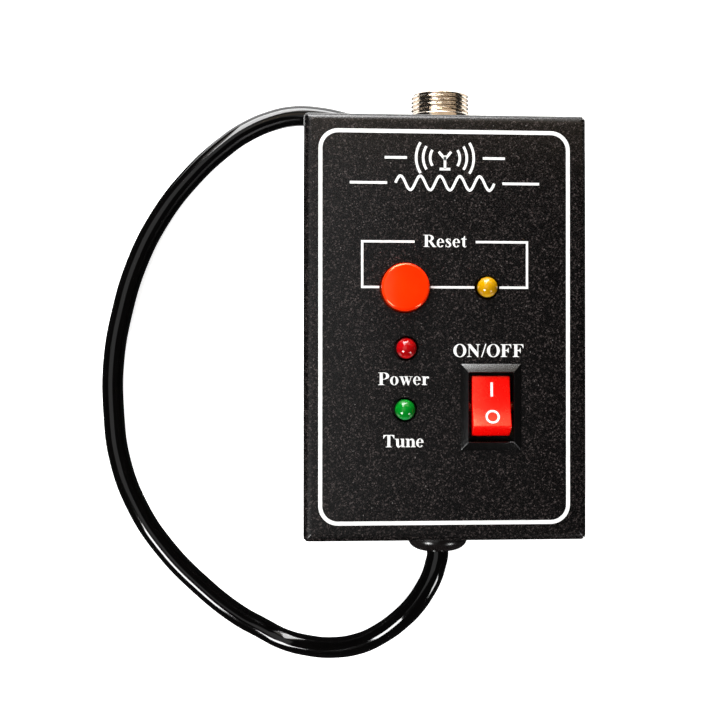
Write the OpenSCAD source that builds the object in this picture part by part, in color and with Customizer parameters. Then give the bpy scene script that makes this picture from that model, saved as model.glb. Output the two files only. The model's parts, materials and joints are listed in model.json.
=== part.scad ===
// Antenna tuner control box, lying on its back on four rubber feet.
// Millimetres. +X is right, +Y is up the front panel, +Z is out of the front panel.
// The origin is under the middle of the box and its two end fittings, on the surface it lies on.

/* [Box] */
// Width across the front panel
box_w = 68.8; // [67:0.1:72]
// Length between the cord end and the socket end
box_l = 103.5; // [102:0.5:108]
// Depth from the front panel to the back of the rear cover
box_d = 34; // [34:0.5:40]
// Thickness of the folded steel sheet
sheet_t = 1; // [0.8:0.1:1.2]
// Outside radius of the folds round the front panel
fold_r = 2; // [1.2:0.1:2.2]
// Radius of the four upright corners
corner_r = 1.2; // [0.5:0.1:1.4]
// Height of the rubber feet
foot_h = 7; // [7:0.5:10]
// Radius of a rubber foot where it stands
foot_r = 5.25; // [5:0.25:6]

/* [Panel controls] */
// Diameter of the reset button's cap
cap_dia = 11.56; // [11:0.02:12]
// Height of the cap above the front panel
cap_out = 3.5; // [3:0.1:4]
// Travel of the reset button
reset_travel = 0.35; // [0.2:0.05:0.4]
// Diameter of the lamps' lenses
led_dia = 4.9; // [4.8:0.1:5.2]
// Height of the lenses' tips above the front panel
led_out = 3.5; // [3:0.1:5]
// Width of the power switch's bezel
bezel_w = 14.8; // [14.6:0.1:15.4]
// Length of the power switch's bezel
bezel_l = 20.9; // [20.7:0.1:21.4]
// Height of the bezel above the front panel
bezel_out = 1.2; // [1:0.1:1.6]
// Width of the rocker
rocker_w = 9.3; // [8.8:0.1:9.6]
// Half of the rocker's swing, from level to either end
rocker_half_swing = 15; // [13:0.5:15]

/* [End fittings] */
// Radius over the crests of the socket's thread
thread_r = 7.35; // [7:0.05:7.5]
// Pitch of the socket's thread
thread_pitch = 1; // [0.8:0.1:1]
// How far the socket stands out of the box
socket_out = 7.85; // [7.85:0.05:9]
// Depth of the socket's axis behind the front panel
socket_depth = 17; // [16:0.5:18]
// Radius of the cord gland's dome
gland_r = 7.45; // [7:0.05:7.8]
// How far the gland's dome stands out of the box
gland_out = 4.45; // [4:0.05:5]

/* [Cord] */
// Diameter of the cord
cord_dia = 5.5; // [5:0.1:5.5]
// Number of turns in the stowed hank
hank_turns = 3; // [2:1:3]

/* [Hidden] */

round_fn = 64;
small_fn = 32;

// Levels
front_z = foot_h + box_d;
panel_in_z = front_z - sheet_t;
cover_top_z = foot_h + sheet_t;
board_top_z = front_z - 9.4;
board_t = 1.6;
board_bottom_z = board_top_z - board_t;

// The box's middle, so that the socket and the gland stand out equally far from the origin
box_y = (gland_out - socket_out) / 2;
socket_wall_y = box_y + box_l / 2;
cord_wall_y = box_y - box_l / 2;

// Places on the front panel
column_x = -10;
button_at = [column_x, box_y + 9.45];
reset_led_at = [9.9, box_y + 9.64];
power_led_at = [column_x + 0.28, box_y - 5.17];
tune_led_at = [column_x - 0.04, box_y - 19.93];
led_places = [reset_led_at, power_led_at, tune_led_at];
led_hole_r = led_dia / 2 + 0.45;
button_hole_r = 6.05;
switch_at = [10.85, box_y - 19.37];
switch_cut = [13.2, 19.4];

// Cover screws, corner posts and feet share four places
foot_x = 27;
foot_y = 44.5;
foot_places = [for (sx = [-1, 1], sy = [-1, 1]) [sx * foot_x, box_y + sy * foot_y]];
m3_r = 1.5;
m3_clear_r = 1.7;
post_r = 3;
screw_head_z = 2;
screw_head_h = 2;
screw_head_r = 2.75;
screw_end_z = 20;

// Circuit board: a rectangle with one corner cut away for the power switch
board_x = [-30, 30];
board_y = [box_y - 34, box_y + 26];
board_cut_x = 2.4;
board_cut_y = box_y - 7;
board_post_places = [
    [-26.5, board_y[1] - 4], [26.5, board_y[1] - 4], [-26.5, board_y[0] + 4], [26.5, board_cut_y + 4]
];
board_post_r = 2.5;
m25_r = 1.25;
lead_x = 1.27;
resistor_x = -22;
resistor_rows = [for (i = [0 : 3]) board_y[0] + 11 + 4 * i];

// Reset switch
cap_r = cap_dia / 2;
cap_top_z = front_z + cap_out;
cap_flange_z = panel_in_z - 2.4;
tact_half = 6;
tact_base_h = 3.4;
tact_top_z = board_top_z + tact_base_h;
dome_z = board_top_z + 0.7;
// The stem starts just clear of the dome and squeezes it at full travel
stem_bottom_z = dome_z + 0.45 + reset_travel;

// Power switch
pivot_z = front_z - 3.5;
trunnion_r = 1.2;
bezel_in = [10.9, 16.8];
body_out = [12.9, 18.9];
body_bottom_z = front_z - 16;
bridge_z = pivot_z - 9.6;
bridge_tilt = 8;
bridge_hub_r = 0.5;
contact_y = 5.2;
dish_r = 24.6;
rocker_end_y = 6.37;
rocker_end_z = 5.6;
rocker_foot_y = 7.52;
rocker_foot_z = 1.2;
mark_h = 0.06;
mark_x = 0.14;

// Socket
socket_x = 0;
socket_z = front_z - socket_depth;
socket_rim_y = socket_wall_y + socket_out;
cavity_r = 6.1;
neck_bore_r = 4.9;
insert_face_y = socket_wall_y + 2.1;
collar_r = 8;
collar_t = 2.5;
thread_rings = 5;
panel_hole_r = 6;

// Gland and cord
gland_x = -0.56;
gland_mouth_y = cord_wall_y - gland_out;
cord_r = cord_dia / 2;
sheath_end_y = cord_wall_y + 10;

// Route of the cord from the gland down to the table, round the left of the box and
// under its back, chosen by hand
cord_route = [
    [gland_x, gland_mouth_y, socket_z], [gland_x, gland_mouth_y - 1.2, socket_z],
    [-1, -61.2, 23.9], [-2, -64.6, 23.6], [-3.7, -68.1, 23],
    [-6.2, -72, 22], [-9.8, -76, 20.4], [-14.9, -80.3, 17.4], [-20.4, -83.5, 13.8],
    [-27, -85.2, 10], [-33.6, -85.3, 6.5], [-40.2, -84, 3.9], [-46.2, -81, 3],
    [-52.2, -77.6, 2.8], [-62.2, -69.5, 2.8], [-71.7, -59.5, 2.8], [-78.7, -48.8, 2.8],
    [-83.5, -36, 2.8], [-85.2, -23, 2.8], [-85.2, -9.7, 2.8], [-83, 3.5, 2.8],
    [-79.2, 16.2, 2.8], [-73.3, 28.2, 2.8], [-65.2, 39.1, 2.8], [-55.4, 48.4, 2.8],
    [-50, 52.1, 2.8], [-43.7, 54.9, 2.8], [-37.7, 56.3, 2.8], [-31.5, 56.2, 2.8],
    [-24, 54.8, 2.9], [-17, 52.7, 3.1], [-9, 50, 3.2], [-2, 47.5, 3.2]
];

// Hank: a flat winding with round ends, one layer deep, under the box
hank_z = 3.2;
hank_half_run = 19;
hank_outer_r = 28;
hank_pitch = 5.75;
hank_inner_r = hank_outer_r - (hank_turns - 1) * hank_pitch;
tie_t = 0.4;
tie_w = 3;

// Tail of the cord inside the hank
tail_route = [[-15.8, -10, 3.2], [-14.6, -5, 3.2], [-12.4, 0, 3.2], [-10.6, 5, 3.2]];
red_core = [[-9.8, 4.8, 3.2], [-8.2, 8, 3.1], [-5.6, 10.5, 3], [-2.6, 12.5, 3]];
black_core = [[-11.5, 5, 3.2], [-10.9, 8.5, 3.1], [-9.6, 12, 3], [-8.2, 14.5, 3]];
core_r = 0.9;
ring_r = 4;
ring_hole_r = 2.15;

// ---------- shared shapes ----------

function unit(v) = v / norm(v);
function along(p, i) = unit(p[min(i + 1, len(p) - 1)] - p[max(i - 1, 0)]);

// Round tube of radius r swept along the points p; flat is a direction that p never follows
module tube(p, r, sides = 8, flat = [0, 0, 1]) {
    rings = len(p);
    points = [
        for (i = [0 : rings - 1])
            let (t = along(p, i), u = unit(cross(t, flat)), v = cross(u, t))
                for (k = [0 : sides - 1])
                    p[i] + r * (cos(360 * k / sides) * u + sin(360 * k / sides) * v)
    ];
    walls = [
        for (i = [0 : rings - 2], k = [0 : sides - 1])
            let (a = i * sides + k, b = i * sides + (k + 1) % sides) each
                [[a, b, b + sides], [a, b + sides, a + sides]]
    ];
    first = [for (k = [sides - 1 : -1 : 0]) k];
    last = [for (k = [0 : sides - 1]) (rings - 1) * sides + k];
    polyhedron(points, concat([first], walls, [last]));
}

// Smooth curve through the points p, with n steps between each two
function mixed(a, b, c, d, t) =
    0.5 * (2 * b + (c - a) * t + (2 * a - 5 * b + 4 * c - d) * t * t + (3 * b - a - 3 * c + d) * t * t * t);
function smooth(p, n) = concat(
    [
        for (i = [0 : len(p) - 2], k = [0 : n - 1])
            mixed(p[max(i - 1, 0)], p[i], p[i + 1], p[min(i + 2, len(p) - 1)], k / n)
    ],
    [p[len(p) - 1]]
);

module at(place, z = 0) { translate([place[0], place[1], z]) children(); }
module drum(r, z0, z1, fn = round_fn) { translate([0, 0, z0]) cylinder(r = r, h = z1 - z0, $fn = fn); }
module block(x, y, z) { translate([x[0], y[0], z[0]]) cube([x[1] - x[0], y[1] - y[0], z[1] - z[0]]); }

// A cylinder along +Y from y0 to y1, on the axis at x, z
module rod_y(x, z, r, y0, y1, fn = round_fn) {
    translate([x, y0, z]) rotate([-90, 0, 0]) cylinder(r = r, h = y1 - y0, $fn = fn);
}

// Plan of the box, drawn in by the given amount
module box_plan(inset = 0) {
    r = max(corner_r - inset, 0.2);
    w = box_w / 2 - inset - r;
    l = box_l / 2 - inset - r;
    translate([0, box_y]) union() {
        square([2 * w, 2 * (l + r)], center = true);
        square([2 * (w + r), 2 * l], center = true);
        for (sx = [-1, 1], sy = [-1, 1]) translate([sx * w, sy * l]) circle(r = r, $fn = small_fn);
    }
}

// Upright face, span wide and with both top corners rounded, for the folds
module fold_face(span, top, r) {
    w = span / 2;
    union() {
        translate([-w, 0]) square([2 * w, top - r]);
        translate([-w + r, 0]) square([2 * (w - r), top]);
        for (s = [-1, 1]) translate([s * (w - r), top - r]) circle(r = r, $fn = small_fn);
    }
}

module folded_solid(inset, z0, top) {
    r = max(fold_r - inset, 0.3);
    w = box_w - 2 * inset;
    l = box_l - 2 * inset;
    intersection() {
        translate([0, 0, z0]) linear_extrude(top - z0) box_plan(inset);
        translate([0, box_y + l, 0]) rotate([90, 0, 0]) linear_extrude(2 * l) fold_face(w, top, r);
        translate([-w, box_y, 0]) rotate([90, 0, 90]) linear_extrude(2 * w) fold_face(l, top, r);
    }
}

// ---------- box ----------

module housing() color("#262221") difference() {
    folded_solid(0, cover_top_z, front_z);
    folded_solid(sheet_t, cover_top_z - 1, panel_in_z);
    at(button_at) drum(button_hole_r, panel_in_z - 1, front_z + 1);
    for (p = led_places) at(p) drum(led_hole_r, panel_in_z - 1, front_z + 1);
    at(switch_at) translate([0, 0, front_z]) cube([switch_cut[0], switch_cut[1], 4], center = true);
    rod_y(socket_x, socket_z, panel_hole_r + 0.1, socket_wall_y - 3, socket_wall_y + 1);
    rod_y(gland_x, socket_z, 5.5, cord_wall_y - 1, cord_wall_y + 3);
}

module rear_cover() color("#262221") difference() {
    translate([0, 0, foot_h]) linear_extrude(sheet_t - 0.02) box_plan();
    for (p = foot_places) at(p) drum(m3_clear_r, foot_h - 1, cover_top_z + 1, small_fn);
}

module corner_posts() color("#b9b6ae") for (p = foot_places) at(p) difference() {
    drum(post_r, cover_top_z, panel_in_z, small_fn);
    drum(m3_r, cover_top_z - 1, screw_end_z + 1, small_fn);
}

module cover_screws() color("#8e8c88") for (p = foot_places) at(p) difference() {
    union() {
        drum(screw_head_r, screw_head_z, screw_head_z + screw_head_h, small_fn);
        drum(m3_r - 0.01, screw_head_z + 1, screw_end_z, small_fn);
    }
    for (a = [0, 90]) rotate([0, 0, a])
        translate([0, 0, screw_head_z]) cube([3, 0.7, 2.2], center = true);
}

module rubber_feet() color("#1b1a1a") for (p = foot_places) at(p) rotate_extrude($fn = round_fn)
    polygon([
        [m3_clear_r, foot_h], [foot_r + 0.75, foot_h], [foot_r + 0.5, 1.2], [foot_r, 0], [3.3, 0],
        [3.3, screw_head_z + screw_head_h], [m3_clear_r, screw_head_z + screw_head_h]
    ]);

// ---------- circuit board ----------

module circuit_board() color("#1f5a35") difference() {
    translate([0, 0, board_bottom_z]) linear_extrude(board_t) polygon([
        [board_x[0], board_y[0]], [board_cut_x, board_y[0]], [board_cut_x, board_cut_y],
        [board_x[1], board_cut_y], [board_x[1], board_y[1]], [board_x[0], board_y[1]]
    ]);
    for (p = board_post_places) at(p) drum(m25_r + 0.2, board_bottom_z - 1, board_top_z + 1, small_fn);
    for (p = led_places, s = [-1, 1]) at([p[0] + s * lead_x, p[1]])
        drum(0.45, board_bottom_z - 1, board_top_z + 1, 16);
    for (y = resistor_rows, s = [-1, 1]) at([resistor_x + s * 5, y])
        drum(0.5, board_bottom_z - 1, board_top_z + 1, 16);
}

module board_posts() color("#b9b6ae") for (p = board_post_places) at(p) difference() {
    drum(board_post_r, board_top_z, panel_in_z, small_fn);
    drum(m25_r, board_top_z - 1, board_top_z + 6, small_fn);
}

module board_screws() color("#b9b6ae") for (p = board_post_places) at(p) difference() {
    union() {
        drum(2.3, board_bottom_z - 1.8, board_bottom_z, small_fn);
        drum(m25_r - 0.01, board_bottom_z - 1, board_top_z + 5, small_fn);
    }
    for (a = [0, 90]) rotate([0, 0, a])
        translate([0, 0, board_bottom_z - 1.8]) cube([2.6, 0.6, 1.8], center = true);
}

// ---------- reset switch ----------

module reset_cap() color("#ff4a12") at(button_at) difference() {
    rotate_extrude($fn = round_fn) polygon([
        [0, cap_flange_z], [cap_r + 1, cap_flange_z], [cap_r + 1, cap_flange_z + 0.9],
        [cap_r, cap_flange_z + 0.9], [cap_r, cap_top_z - 0.4], [cap_r - 0.4, cap_top_z],
        [cap_r - 1.2, cap_top_z], [0, cap_top_z - 0.25]
    ]);
    translate([0, 0, cap_flange_z]) cube([3.9, 3.9, 8], center = true);
}

module reset_stem() color("#2b2b2b") at(button_at) union() {
    translate([0, 0, (stem_bottom_z + cap_flange_z + 3.8) / 2])
        cube([3.8, 3.8, cap_flange_z + 3.8 - stem_bottom_z], center = true);
    drum(3.3, stem_bottom_z, tact_top_z + 0.5);
}

module tact_base() color("#222222") at(button_at) difference() {
    translate([-tact_half, -tact_half, board_top_z]) cube([2 * tact_half, 2 * tact_half, tact_base_h]);
    drum(3.5, board_top_z + 0.6, tact_top_z + 1);
}

module tact_cover() color("#c9c9c6") at(button_at) difference() {
    translate([-tact_half, -tact_half, tact_top_z]) cube([2 * tact_half, 2 * tact_half, 0.3]);
    drum(3.5, tact_top_z - 1, tact_top_z + 1);
}

module tact_dome() color("#d8c9a0") at(button_at) rotate_extrude($fn = round_fn)
    polygon([[0, dome_z + 0.5], [2.9, dome_z], [2.9, dome_z + 0.15], [0, dome_z + 0.65]]);

// ---------- lamps ----------

led_tip_z = front_z + led_out;
led_flange_z = led_tip_z - 8.6;

module led(place) at(place) union() {
    drum(led_dia / 2 + 0.4, led_flange_z, led_flange_z + 1);
    drum(led_dia / 2, led_flange_z + 0.5, led_tip_z - led_dia / 2);
    translate([0, 0, led_tip_z - led_dia / 2]) intersection() {
        sphere(r = led_dia / 2, $fn = round_fn);
        drum(led_dia, 0, led_dia);
    }
}

module reset_led() color("#e6a800") led(reset_led_at);
module power_led() color("#c81020") led(power_led_at);
module tune_led() color("#0a9038") led(tune_led_at);

module led_leads() color("#c4c4c0")
    for (p = led_places, s = [-1, 1]) at(p) translate([s * lead_x, 0, 0])
        block([-0.25, 0.25], [-0.25, 0.25], [board_bottom_z - 1.5, led_flange_z]);

module led_spacers() color("#111111") for (p = led_places) at(p) difference() {
    drum(2.6, board_top_z, led_flange_z, small_fn);
    for (s = [-1, 1]) translate([s * lead_x, 0, 0])
        drum(0.5, board_top_z - 1, led_flange_z + 1, 16);
}

// ---------- parts on the board's underside ----------

module resistors() color("#c8a878") for (y = resistor_rows)
    translate([resistor_x, y, board_bottom_z - 1.3]) rotate([0, 90, 0]) union() {
        cylinder(r = 1.15, h = 6.4, center = true, $fn = small_fn);
        cylinder(r = 0.3, h = 10, center = true, $fn = 16);
        for (s = [-1, 1]) translate([-0.65, 0, s * 5]) cube([1.9, 0.6, 0.6], center = true);
    }

module control_chip() color("#1a1a1a") translate([-3, box_y + 8, board_bottom_z]) {
    translate([-3.2, -9.6, -3.9]) cube([6.4, 19.2, 3.3]);
    for (s = [-1, 1], i = [0 : 6]) translate([s * 3.6, -7.62 + 2.54 * i, -1.2])
        cube([0.9, 0.5, 2.4], center = true);
}

module capacitors() color("#20304a") for (i = [0, 1])
    translate([12 + 10 * i, box_y + 14, 0]) drum(3.15, board_bottom_z - 11, board_bottom_z, small_fn);

module regulator() color("#202020") translate([-22, box_y + 4, 0]) union() {
    block([-5, 5], [-2.3, 2.3], [board_bottom_z - 12, board_bottom_z - 3]);
    for (s = [-1, 0, 1]) translate([2.54 * s, 0, 0])
        block([-0.4, 0.4], [-0.3, 0.3], [board_bottom_z - 4, board_bottom_z]);
}

module signal_header() color("#e8e4da") translate([socket_x, board_y[1] - 4, board_bottom_z]) difference() {
    translate([-6.2, -2.9, -7]) cube([12.4, 5.8, 7]);
    translate([-5.4, -2.1, -8]) cube([10.8, 4.2, 7]);
}

module power_terminal_block() color("#1c6fb0")
    translate([-8, board_y[0] + 5, board_bottom_z]) difference() {
        translate([-5, -4, -9]) cube([10, 8, 9]);
        for (s = [-1, 1]) translate([2.5 * s, -5, -5.5]) rotate([-90, 0, 0])
            cylinder(r = 1.4, h = 6, $fn = small_fn);
        for (s = [-1, 1]) translate([2.5 * s, 0, -10]) cylinder(r = 1.7, h = 3, $fn = small_fn);
    }

// ---------- power switch ----------

// Flat frame of the bezel: low at its outer edge, high round the rocker
module bezel_frame() hull() {
    translate([-bezel_w / 2, -bezel_l / 2, front_z]) cube([bezel_w, bezel_l, 0.25]);
    translate([-bezel_in[0] / 2 - 0.1, -bezel_in[1] / 2 - 0.1, front_z])
        cube([bezel_in[0] + 0.2, bezel_in[1] + 0.2, bezel_out]);
}

module switch_body() color("#0c0c0c") at(switch_at) difference() {
    union() {
        bezel_frame();
        translate([-body_out[0] / 2, -body_out[1] / 2, body_bottom_z])
            cube([body_out[0], body_out[1], front_z + 0.1 - body_bottom_z]);
        // spring wings that hold the switch behind the panel
        for (s = [-1, 1]) translate([-3, s * (body_out[1] / 2 + 0.35) - 0.45, panel_in_z - 6])
            cube([6, 0.9, 5.9]);
    }
    translate([-bezel_in[0] / 2, -bezel_in[1] / 2, body_bottom_z + 1.2])
        cube([bezel_in[0], bezel_in[1], 30]);
    translate([-body_out[0], 0, pivot_z]) rotate([0, 90, 0])
        cylinder(r = trunnion_r + 0.05, h = 2 * body_out[0], $fn = round_fn);
    for (y = [-contact_y - 1.2, 0]) translate([0, y, body_bottom_z])
        cube([4.9, 0.9, 4], center = true);
}

// The rocker's side view, level, with the pivot at the origin
module rocker_profile() difference() {
    polygon([
        [-rocker_end_y, rocker_end_z], [-rocker_foot_y, rocker_foot_z], [-rocker_foot_y + 0.4, -0.6],
        [-2.6, -2.2], [2.6, -2.2], [rocker_foot_y - 0.4, -0.6], [rocker_foot_y, rocker_foot_z],
        [rocker_end_y, rocker_end_z]
    ]);
    translate([0, dish_y()]) circle(r = dish_r, $fn = 256);
}
// Height of the dish's centre, so that the dish meets both top edges
function dish_y() = rocker_end_z + sqrt(dish_r * dish_r - rocker_end_y * rocker_end_y);

// Everything on the rocker is drawn level and then tipped to where I is pressed
module tipped() at(switch_at, pivot_z) rotate([-rocker_half_swing, 0, 0]) children();
// A side view drawn in Y and Z, given a width in X
module widened(w) rotate([90, 0, 90]) linear_extrude(w, center = true) children();

module rocker() color("#f31812") tipped() difference() {
    union() {
        widened(rocker_w) rocker_profile();
        rotate([0, 90, 0]) cylinder(r = trunnion_r, h = rocker_w + 2.8, center = true, $fn = round_fn);
        translate([0, 0, -6.4]) cylinder(r = 2.3, h = 6, $fn = round_fn);
    }
    translate([0, 0, -7]) cylinder(r = 1.6, h = 6, $fn = round_fn);
}

module rocker_marks() color("white") tipped() intersection() {
    translate([mark_x, 0, 0]) union() {
        translate([-0.3, 1.4, 0]) cube([0.6, 3.4, 9]);
        translate([0, -3.7, 0]) difference() {
            cylinder(r = 1.72, h = 9, $fn = round_fn);
            translate([0, 0, -1]) cylinder(r = 1.2, h = 11, $fn = round_fn);
        }
    }
    widened(rocker_w - 1) translate([0, dish_y()]) difference() {
        circle(r = dish_r, $fn = 256);
        circle(r = dish_r - mark_h, $fn = 256);
    }
}

module switch_plunger() color("#e9e6dc") tipped() union() {
    translate([0, 0, -7.2]) cylinder(r = 1.55, h = 3.2, $fn = round_fn);
    translate([0, 0, -7.2]) sphere(r = 1.5, $fn = small_fn);
}

module switch_spring() color("#c8c8c4") tipped() translate([0, 0, -3.95]) difference() {
    cylinder(r = 1.45, h = 2.9, $fn = small_fn);
    translate([0, 0, -1]) cylinder(r = 1.05, h = 6, $fn = small_fn);
}

// Seesaw that the plunger tips; its arms rise from a rolled middle
module contact_bridge() color("#c08a3e") at(switch_at, bridge_z) rotate([bridge_tilt, 0, 0]) union() {
    widened(3.2) polygon([
        [0, 0.25], [contact_y, 1.35], [contact_y + 0.6, 1.35], [contact_y + 0.6, 0.35],
        [contact_y - 0.8, 0.35], [0, -0.25], [-contact_y + 0.8, 0.35], [-contact_y - 0.6, 0.35],
        [-contact_y - 0.6, 1.35], [-contact_y, 1.35]
    ]);
    rotate([0, 90, 0]) cylinder(r = bridge_hub_r, h = 3.6, center = true, $fn = small_fn);
}

module switch_terminals() color("#cfa75a") at(switch_at) union() {
    // middle tab, ending in the edge that the seesaw's rolled middle rocks on
    block([-2.3, 2.3], [-0.4, 0.4], [body_bottom_z - 8, bridge_z - bridge_hub_r]);
    // end tab, with its fixed contact under the seesaw's closed end
    translate([0, -contact_y - 1.2, 0]) union() {
        block([-2.3, 2.3], [-0.4, 0.4], [body_bottom_z - 8, body_bottom_z + 1.9]);
        block([-1.6, 1.6], [-0.4, 2.2], [body_bottom_z + 1.3, body_bottom_z + 1.9]);
    }
}

// ---------- socket ----------

// Turns a profile drawn in radius and distance round the socket's axis, along +Y
module socket_turned() translate([socket_x, 0, socket_z]) rotate([-90, 0, 0])
    rotate_extrude($fn = round_fn) children();

thread_start_y = socket_rim_y - thread_rings * thread_pitch;
root_r = thread_r - 0.55;
crest_w = 0.3 * thread_pitch;

module socket_shell() color("#c9b38c") difference() {
    socket_turned() polygon(concat(
        [
            [neck_bore_r, socket_wall_y - 9], [panel_hole_r - 0.1, socket_wall_y - 9],
            [panel_hole_r - 0.1, socket_wall_y], [collar_r, socket_wall_y],
            [collar_r, socket_wall_y + collar_t], [root_r, socket_wall_y + collar_t]
        ],
        [
            for (i = [0 : thread_rings - 1]) let (y = thread_start_y + i * thread_pitch) each [
                [root_r, y], [thread_r, y + 0.35 * thread_pitch],
                [thread_r, y + 0.35 * thread_pitch + crest_w], [root_r, y + 0.95 * thread_pitch]
            ]
        ],
        [
            [root_r, socket_rim_y], [cavity_r, socket_rim_y], [cavity_r, socket_wall_y + 0.4],
            [neck_bore_r, socket_wall_y + 0.4]
        ]
    ));
}

module socket_insert() color("#1a1a1a") difference() {
    union() {
        rod_y(socket_x, socket_z, cavity_r - 0.02, socket_wall_y + 0.4, insert_face_y);
        rod_y(socket_x, socket_z, neck_bore_r - 0.02, socket_wall_y - 10, socket_wall_y + 0.5);
    }
    for (a = [45 : 90 : 315])
        rod_y(socket_x + 3 * cos(a), socket_z + 3 * sin(a), 1.02, socket_wall_y - 11, insert_face_y + 1, small_fn);
}

module socket_contacts() color("#d8b45a") for (a = [45 : 90 : 315]) {
    x = socket_x + 3 * cos(a);
    z = socket_z + 3 * sin(a);
    difference() {
        rod_y(x, z, 1, socket_wall_y - 14, insert_face_y - 0.4, small_fn);
        rod_y(x, z, 0.6, insert_face_y - 6, insert_face_y + 1, small_fn);
    }
}

module socket_washer() color("#b5b3ad") difference() {
    rod_y(socket_x, socket_z, 8.2, socket_wall_y - sheet_t - 0.6, socket_wall_y - sheet_t);
    rod_y(socket_x, socket_z, panel_hole_r + 0.05, socket_wall_y - 3, socket_wall_y + 1);
}

module socket_nut() color("#c9b38c") difference() {
    translate([socket_x, socket_wall_y - sheet_t - 3.1, socket_z]) rotate([-90, 0, 0])
        cylinder(r = 8.6, h = 2.5, $fn = 6);
    rod_y(socket_x, socket_z, panel_hole_r, socket_wall_y - 6, socket_wall_y + 1);
}

// ---------- cord inside the box ----------

module gland_turned() translate([gland_x, 0, socket_z]) rotate([-90, 0, 0])
    rotate_extrude($fn = round_fn) children();

dome_steps = 10;
// The dome is flat out to this radius, and rounds off over this much of its height
dome_flat_r = 3.1;
dome_round_h = 2.95;

module cord_gland() color("#0d0d0d") gland_turned() polygon(concat(
    [
        for (i = [0 : dome_steps]) let (a = 90 * i / dome_steps) [
            dome_flat_r + (gland_r - dome_flat_r) * sin(a),
            gland_mouth_y + dome_round_h * (1 - cos(a))
        ]
    ],
    [
        [gland_r, cord_wall_y], [5.4, cord_wall_y], [5.4, cord_wall_y + sheet_t],
        [6.6, cord_wall_y + sheet_t], [6.1, cord_wall_y + sheet_t + 2], [cord_r + 0.03, cord_wall_y + sheet_t + 2],
        [cord_r + 0.03, gland_mouth_y]
    ]
));

module inner_cord() color("#141414") rod_y(gland_x, socket_z, cord_r, gland_mouth_y, sheath_end_y, small_fn);

module inner_cable_tie() color("#e8e8e4") union() {
    difference() {
        rod_y(gland_x, socket_z, cord_r + 1.1, cord_wall_y + 3.6, cord_wall_y + 6.1, small_fn);
        rod_y(gland_x, socket_z, cord_r + 0.02, cord_wall_y + 3, cord_wall_y + 7, small_fn);
    }
    translate([gland_x - 1.8, cord_wall_y + 3.2, socket_z + cord_r + 0.9]) cube([3.6, 3.3, 3.2]);
}

wire_r = 0.7;
block_y = board_y[0] + 1;
switch_tab_y = switch_at[1] - contact_y - 1.2;
tab_z = body_bottom_z - 7;
block_z = board_bottom_z - 5.5;

module supply_wires() color("#8c1414") union() {
    // black core, to the board
    tube(smooth([
        [gland_x - 1, sheath_end_y, socket_z], [gland_x - 2, sheath_end_y + 2.4, socket_z],
        [-5, block_y - 4.5, block_z - 0.6], [-5.5, block_y - 1, block_z], [-5.5, block_y + 1, block_z]
    ], 2), wire_r);
    // red core, to the switch
    tube(smooth([
        [gland_x + 1, sheath_end_y, socket_z], [gland_x + 2.4, sheath_end_y + 3, socket_z - 1],
        [6, switch_tab_y - 9, tab_z + 0.5], [switch_at[0], switch_tab_y - 4, tab_z],
        [switch_at[0], switch_tab_y - 0.45, tab_z]
    ], 2), wire_r);
}

module switched_wire() color("#b01818") tube(smooth([
    [switch_at[0], switch_at[1] + 0.5, tab_z], [switch_at[0] - 1, switch_at[1] + 4, tab_z - 2],
    [2, switch_at[1] + 5, tab_z - 3], [-6, switch_at[1] - 3, tab_z + 1],
    [-10.5, block_y - 3.6, block_z - 0.8], [-10.5, block_y - 1.2, block_z], [-10.5, block_y + 1, block_z]
], 2), wire_r);

// Where each of the four wires sits in the header, in the order of the contacts
header_pins_x = [3, -3, -1, 1];

module signal_wires() color("#3b62b0") for (i = [0 : 3]) {
    a = 45 + 90 * i;
    x1 = socket_x + 3 * cos(a);
    z1 = socket_z + 3 * sin(a);
    x0 = socket_x + header_pins_x[i];
    tube(smooth([
        [x0, board_y[1] - 4, board_bottom_z - 4], [x0, board_y[1] - 4.2, board_bottom_z - 8],
        [x0, board_y[1] - 1, z1 - 4 - (z1 < socket_z ? 0 : 3)], [(x0 + x1) / 2, board_y[1] + 5, z1 - 1.5],
        [x1, socket_wall_y - 17, z1], [x1, socket_wall_y - 14, z1]
    ], 2), 0.6, 8, [1, 0, 0]);
}

// ---------- free cord ----------

module power_cord() color("#151515") tube(cord_route, cord_r, 10);

module hank_plan(r) translate([0, box_y]) union() {
    square([2 * r, 2 * hank_half_run], center = true);
    for (s = [-1, 1]) translate([0, s * hank_half_run]) circle(r = r, $fn = round_fn);
}

module cord_hank() color("#151515") translate([0, 0, hank_z - cord_r]) linear_extrude(cord_dia) difference() {
    hank_plan(hank_outer_r + cord_r);
    hank_plan(hank_inner_r - cord_r);
}

module hank_ties() color("#101010") for (s = [-1, 1], side = [-1, 1]) {
    x0 = hank_inner_r - cord_r - tie_t;
    x1 = hank_outer_r + cord_r + tie_t;
    y = box_y + 12 * s;
    difference() {
        block(side > 0 ? [x0, x1] : [-x1, -x0], [y - tie_w / 2, y + tie_w / 2],
              [hank_z - cord_r - tie_t, hank_z + cord_r + tie_t]);
        block(side > 0 ? [x0 + tie_t, x1 - tie_t] : [tie_t - x1, -x0 - tie_t], [y - tie_w, y + tie_w],
              [hank_z - cord_r, hank_z + cord_r]);
    }
}

module cord_tail() color("#151515") tube(tail_route, cord_r, 10);

module cord_cores() color("#a01414") union() {
    tube(red_core, core_r);
    tube(black_core, core_r);
}

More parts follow.
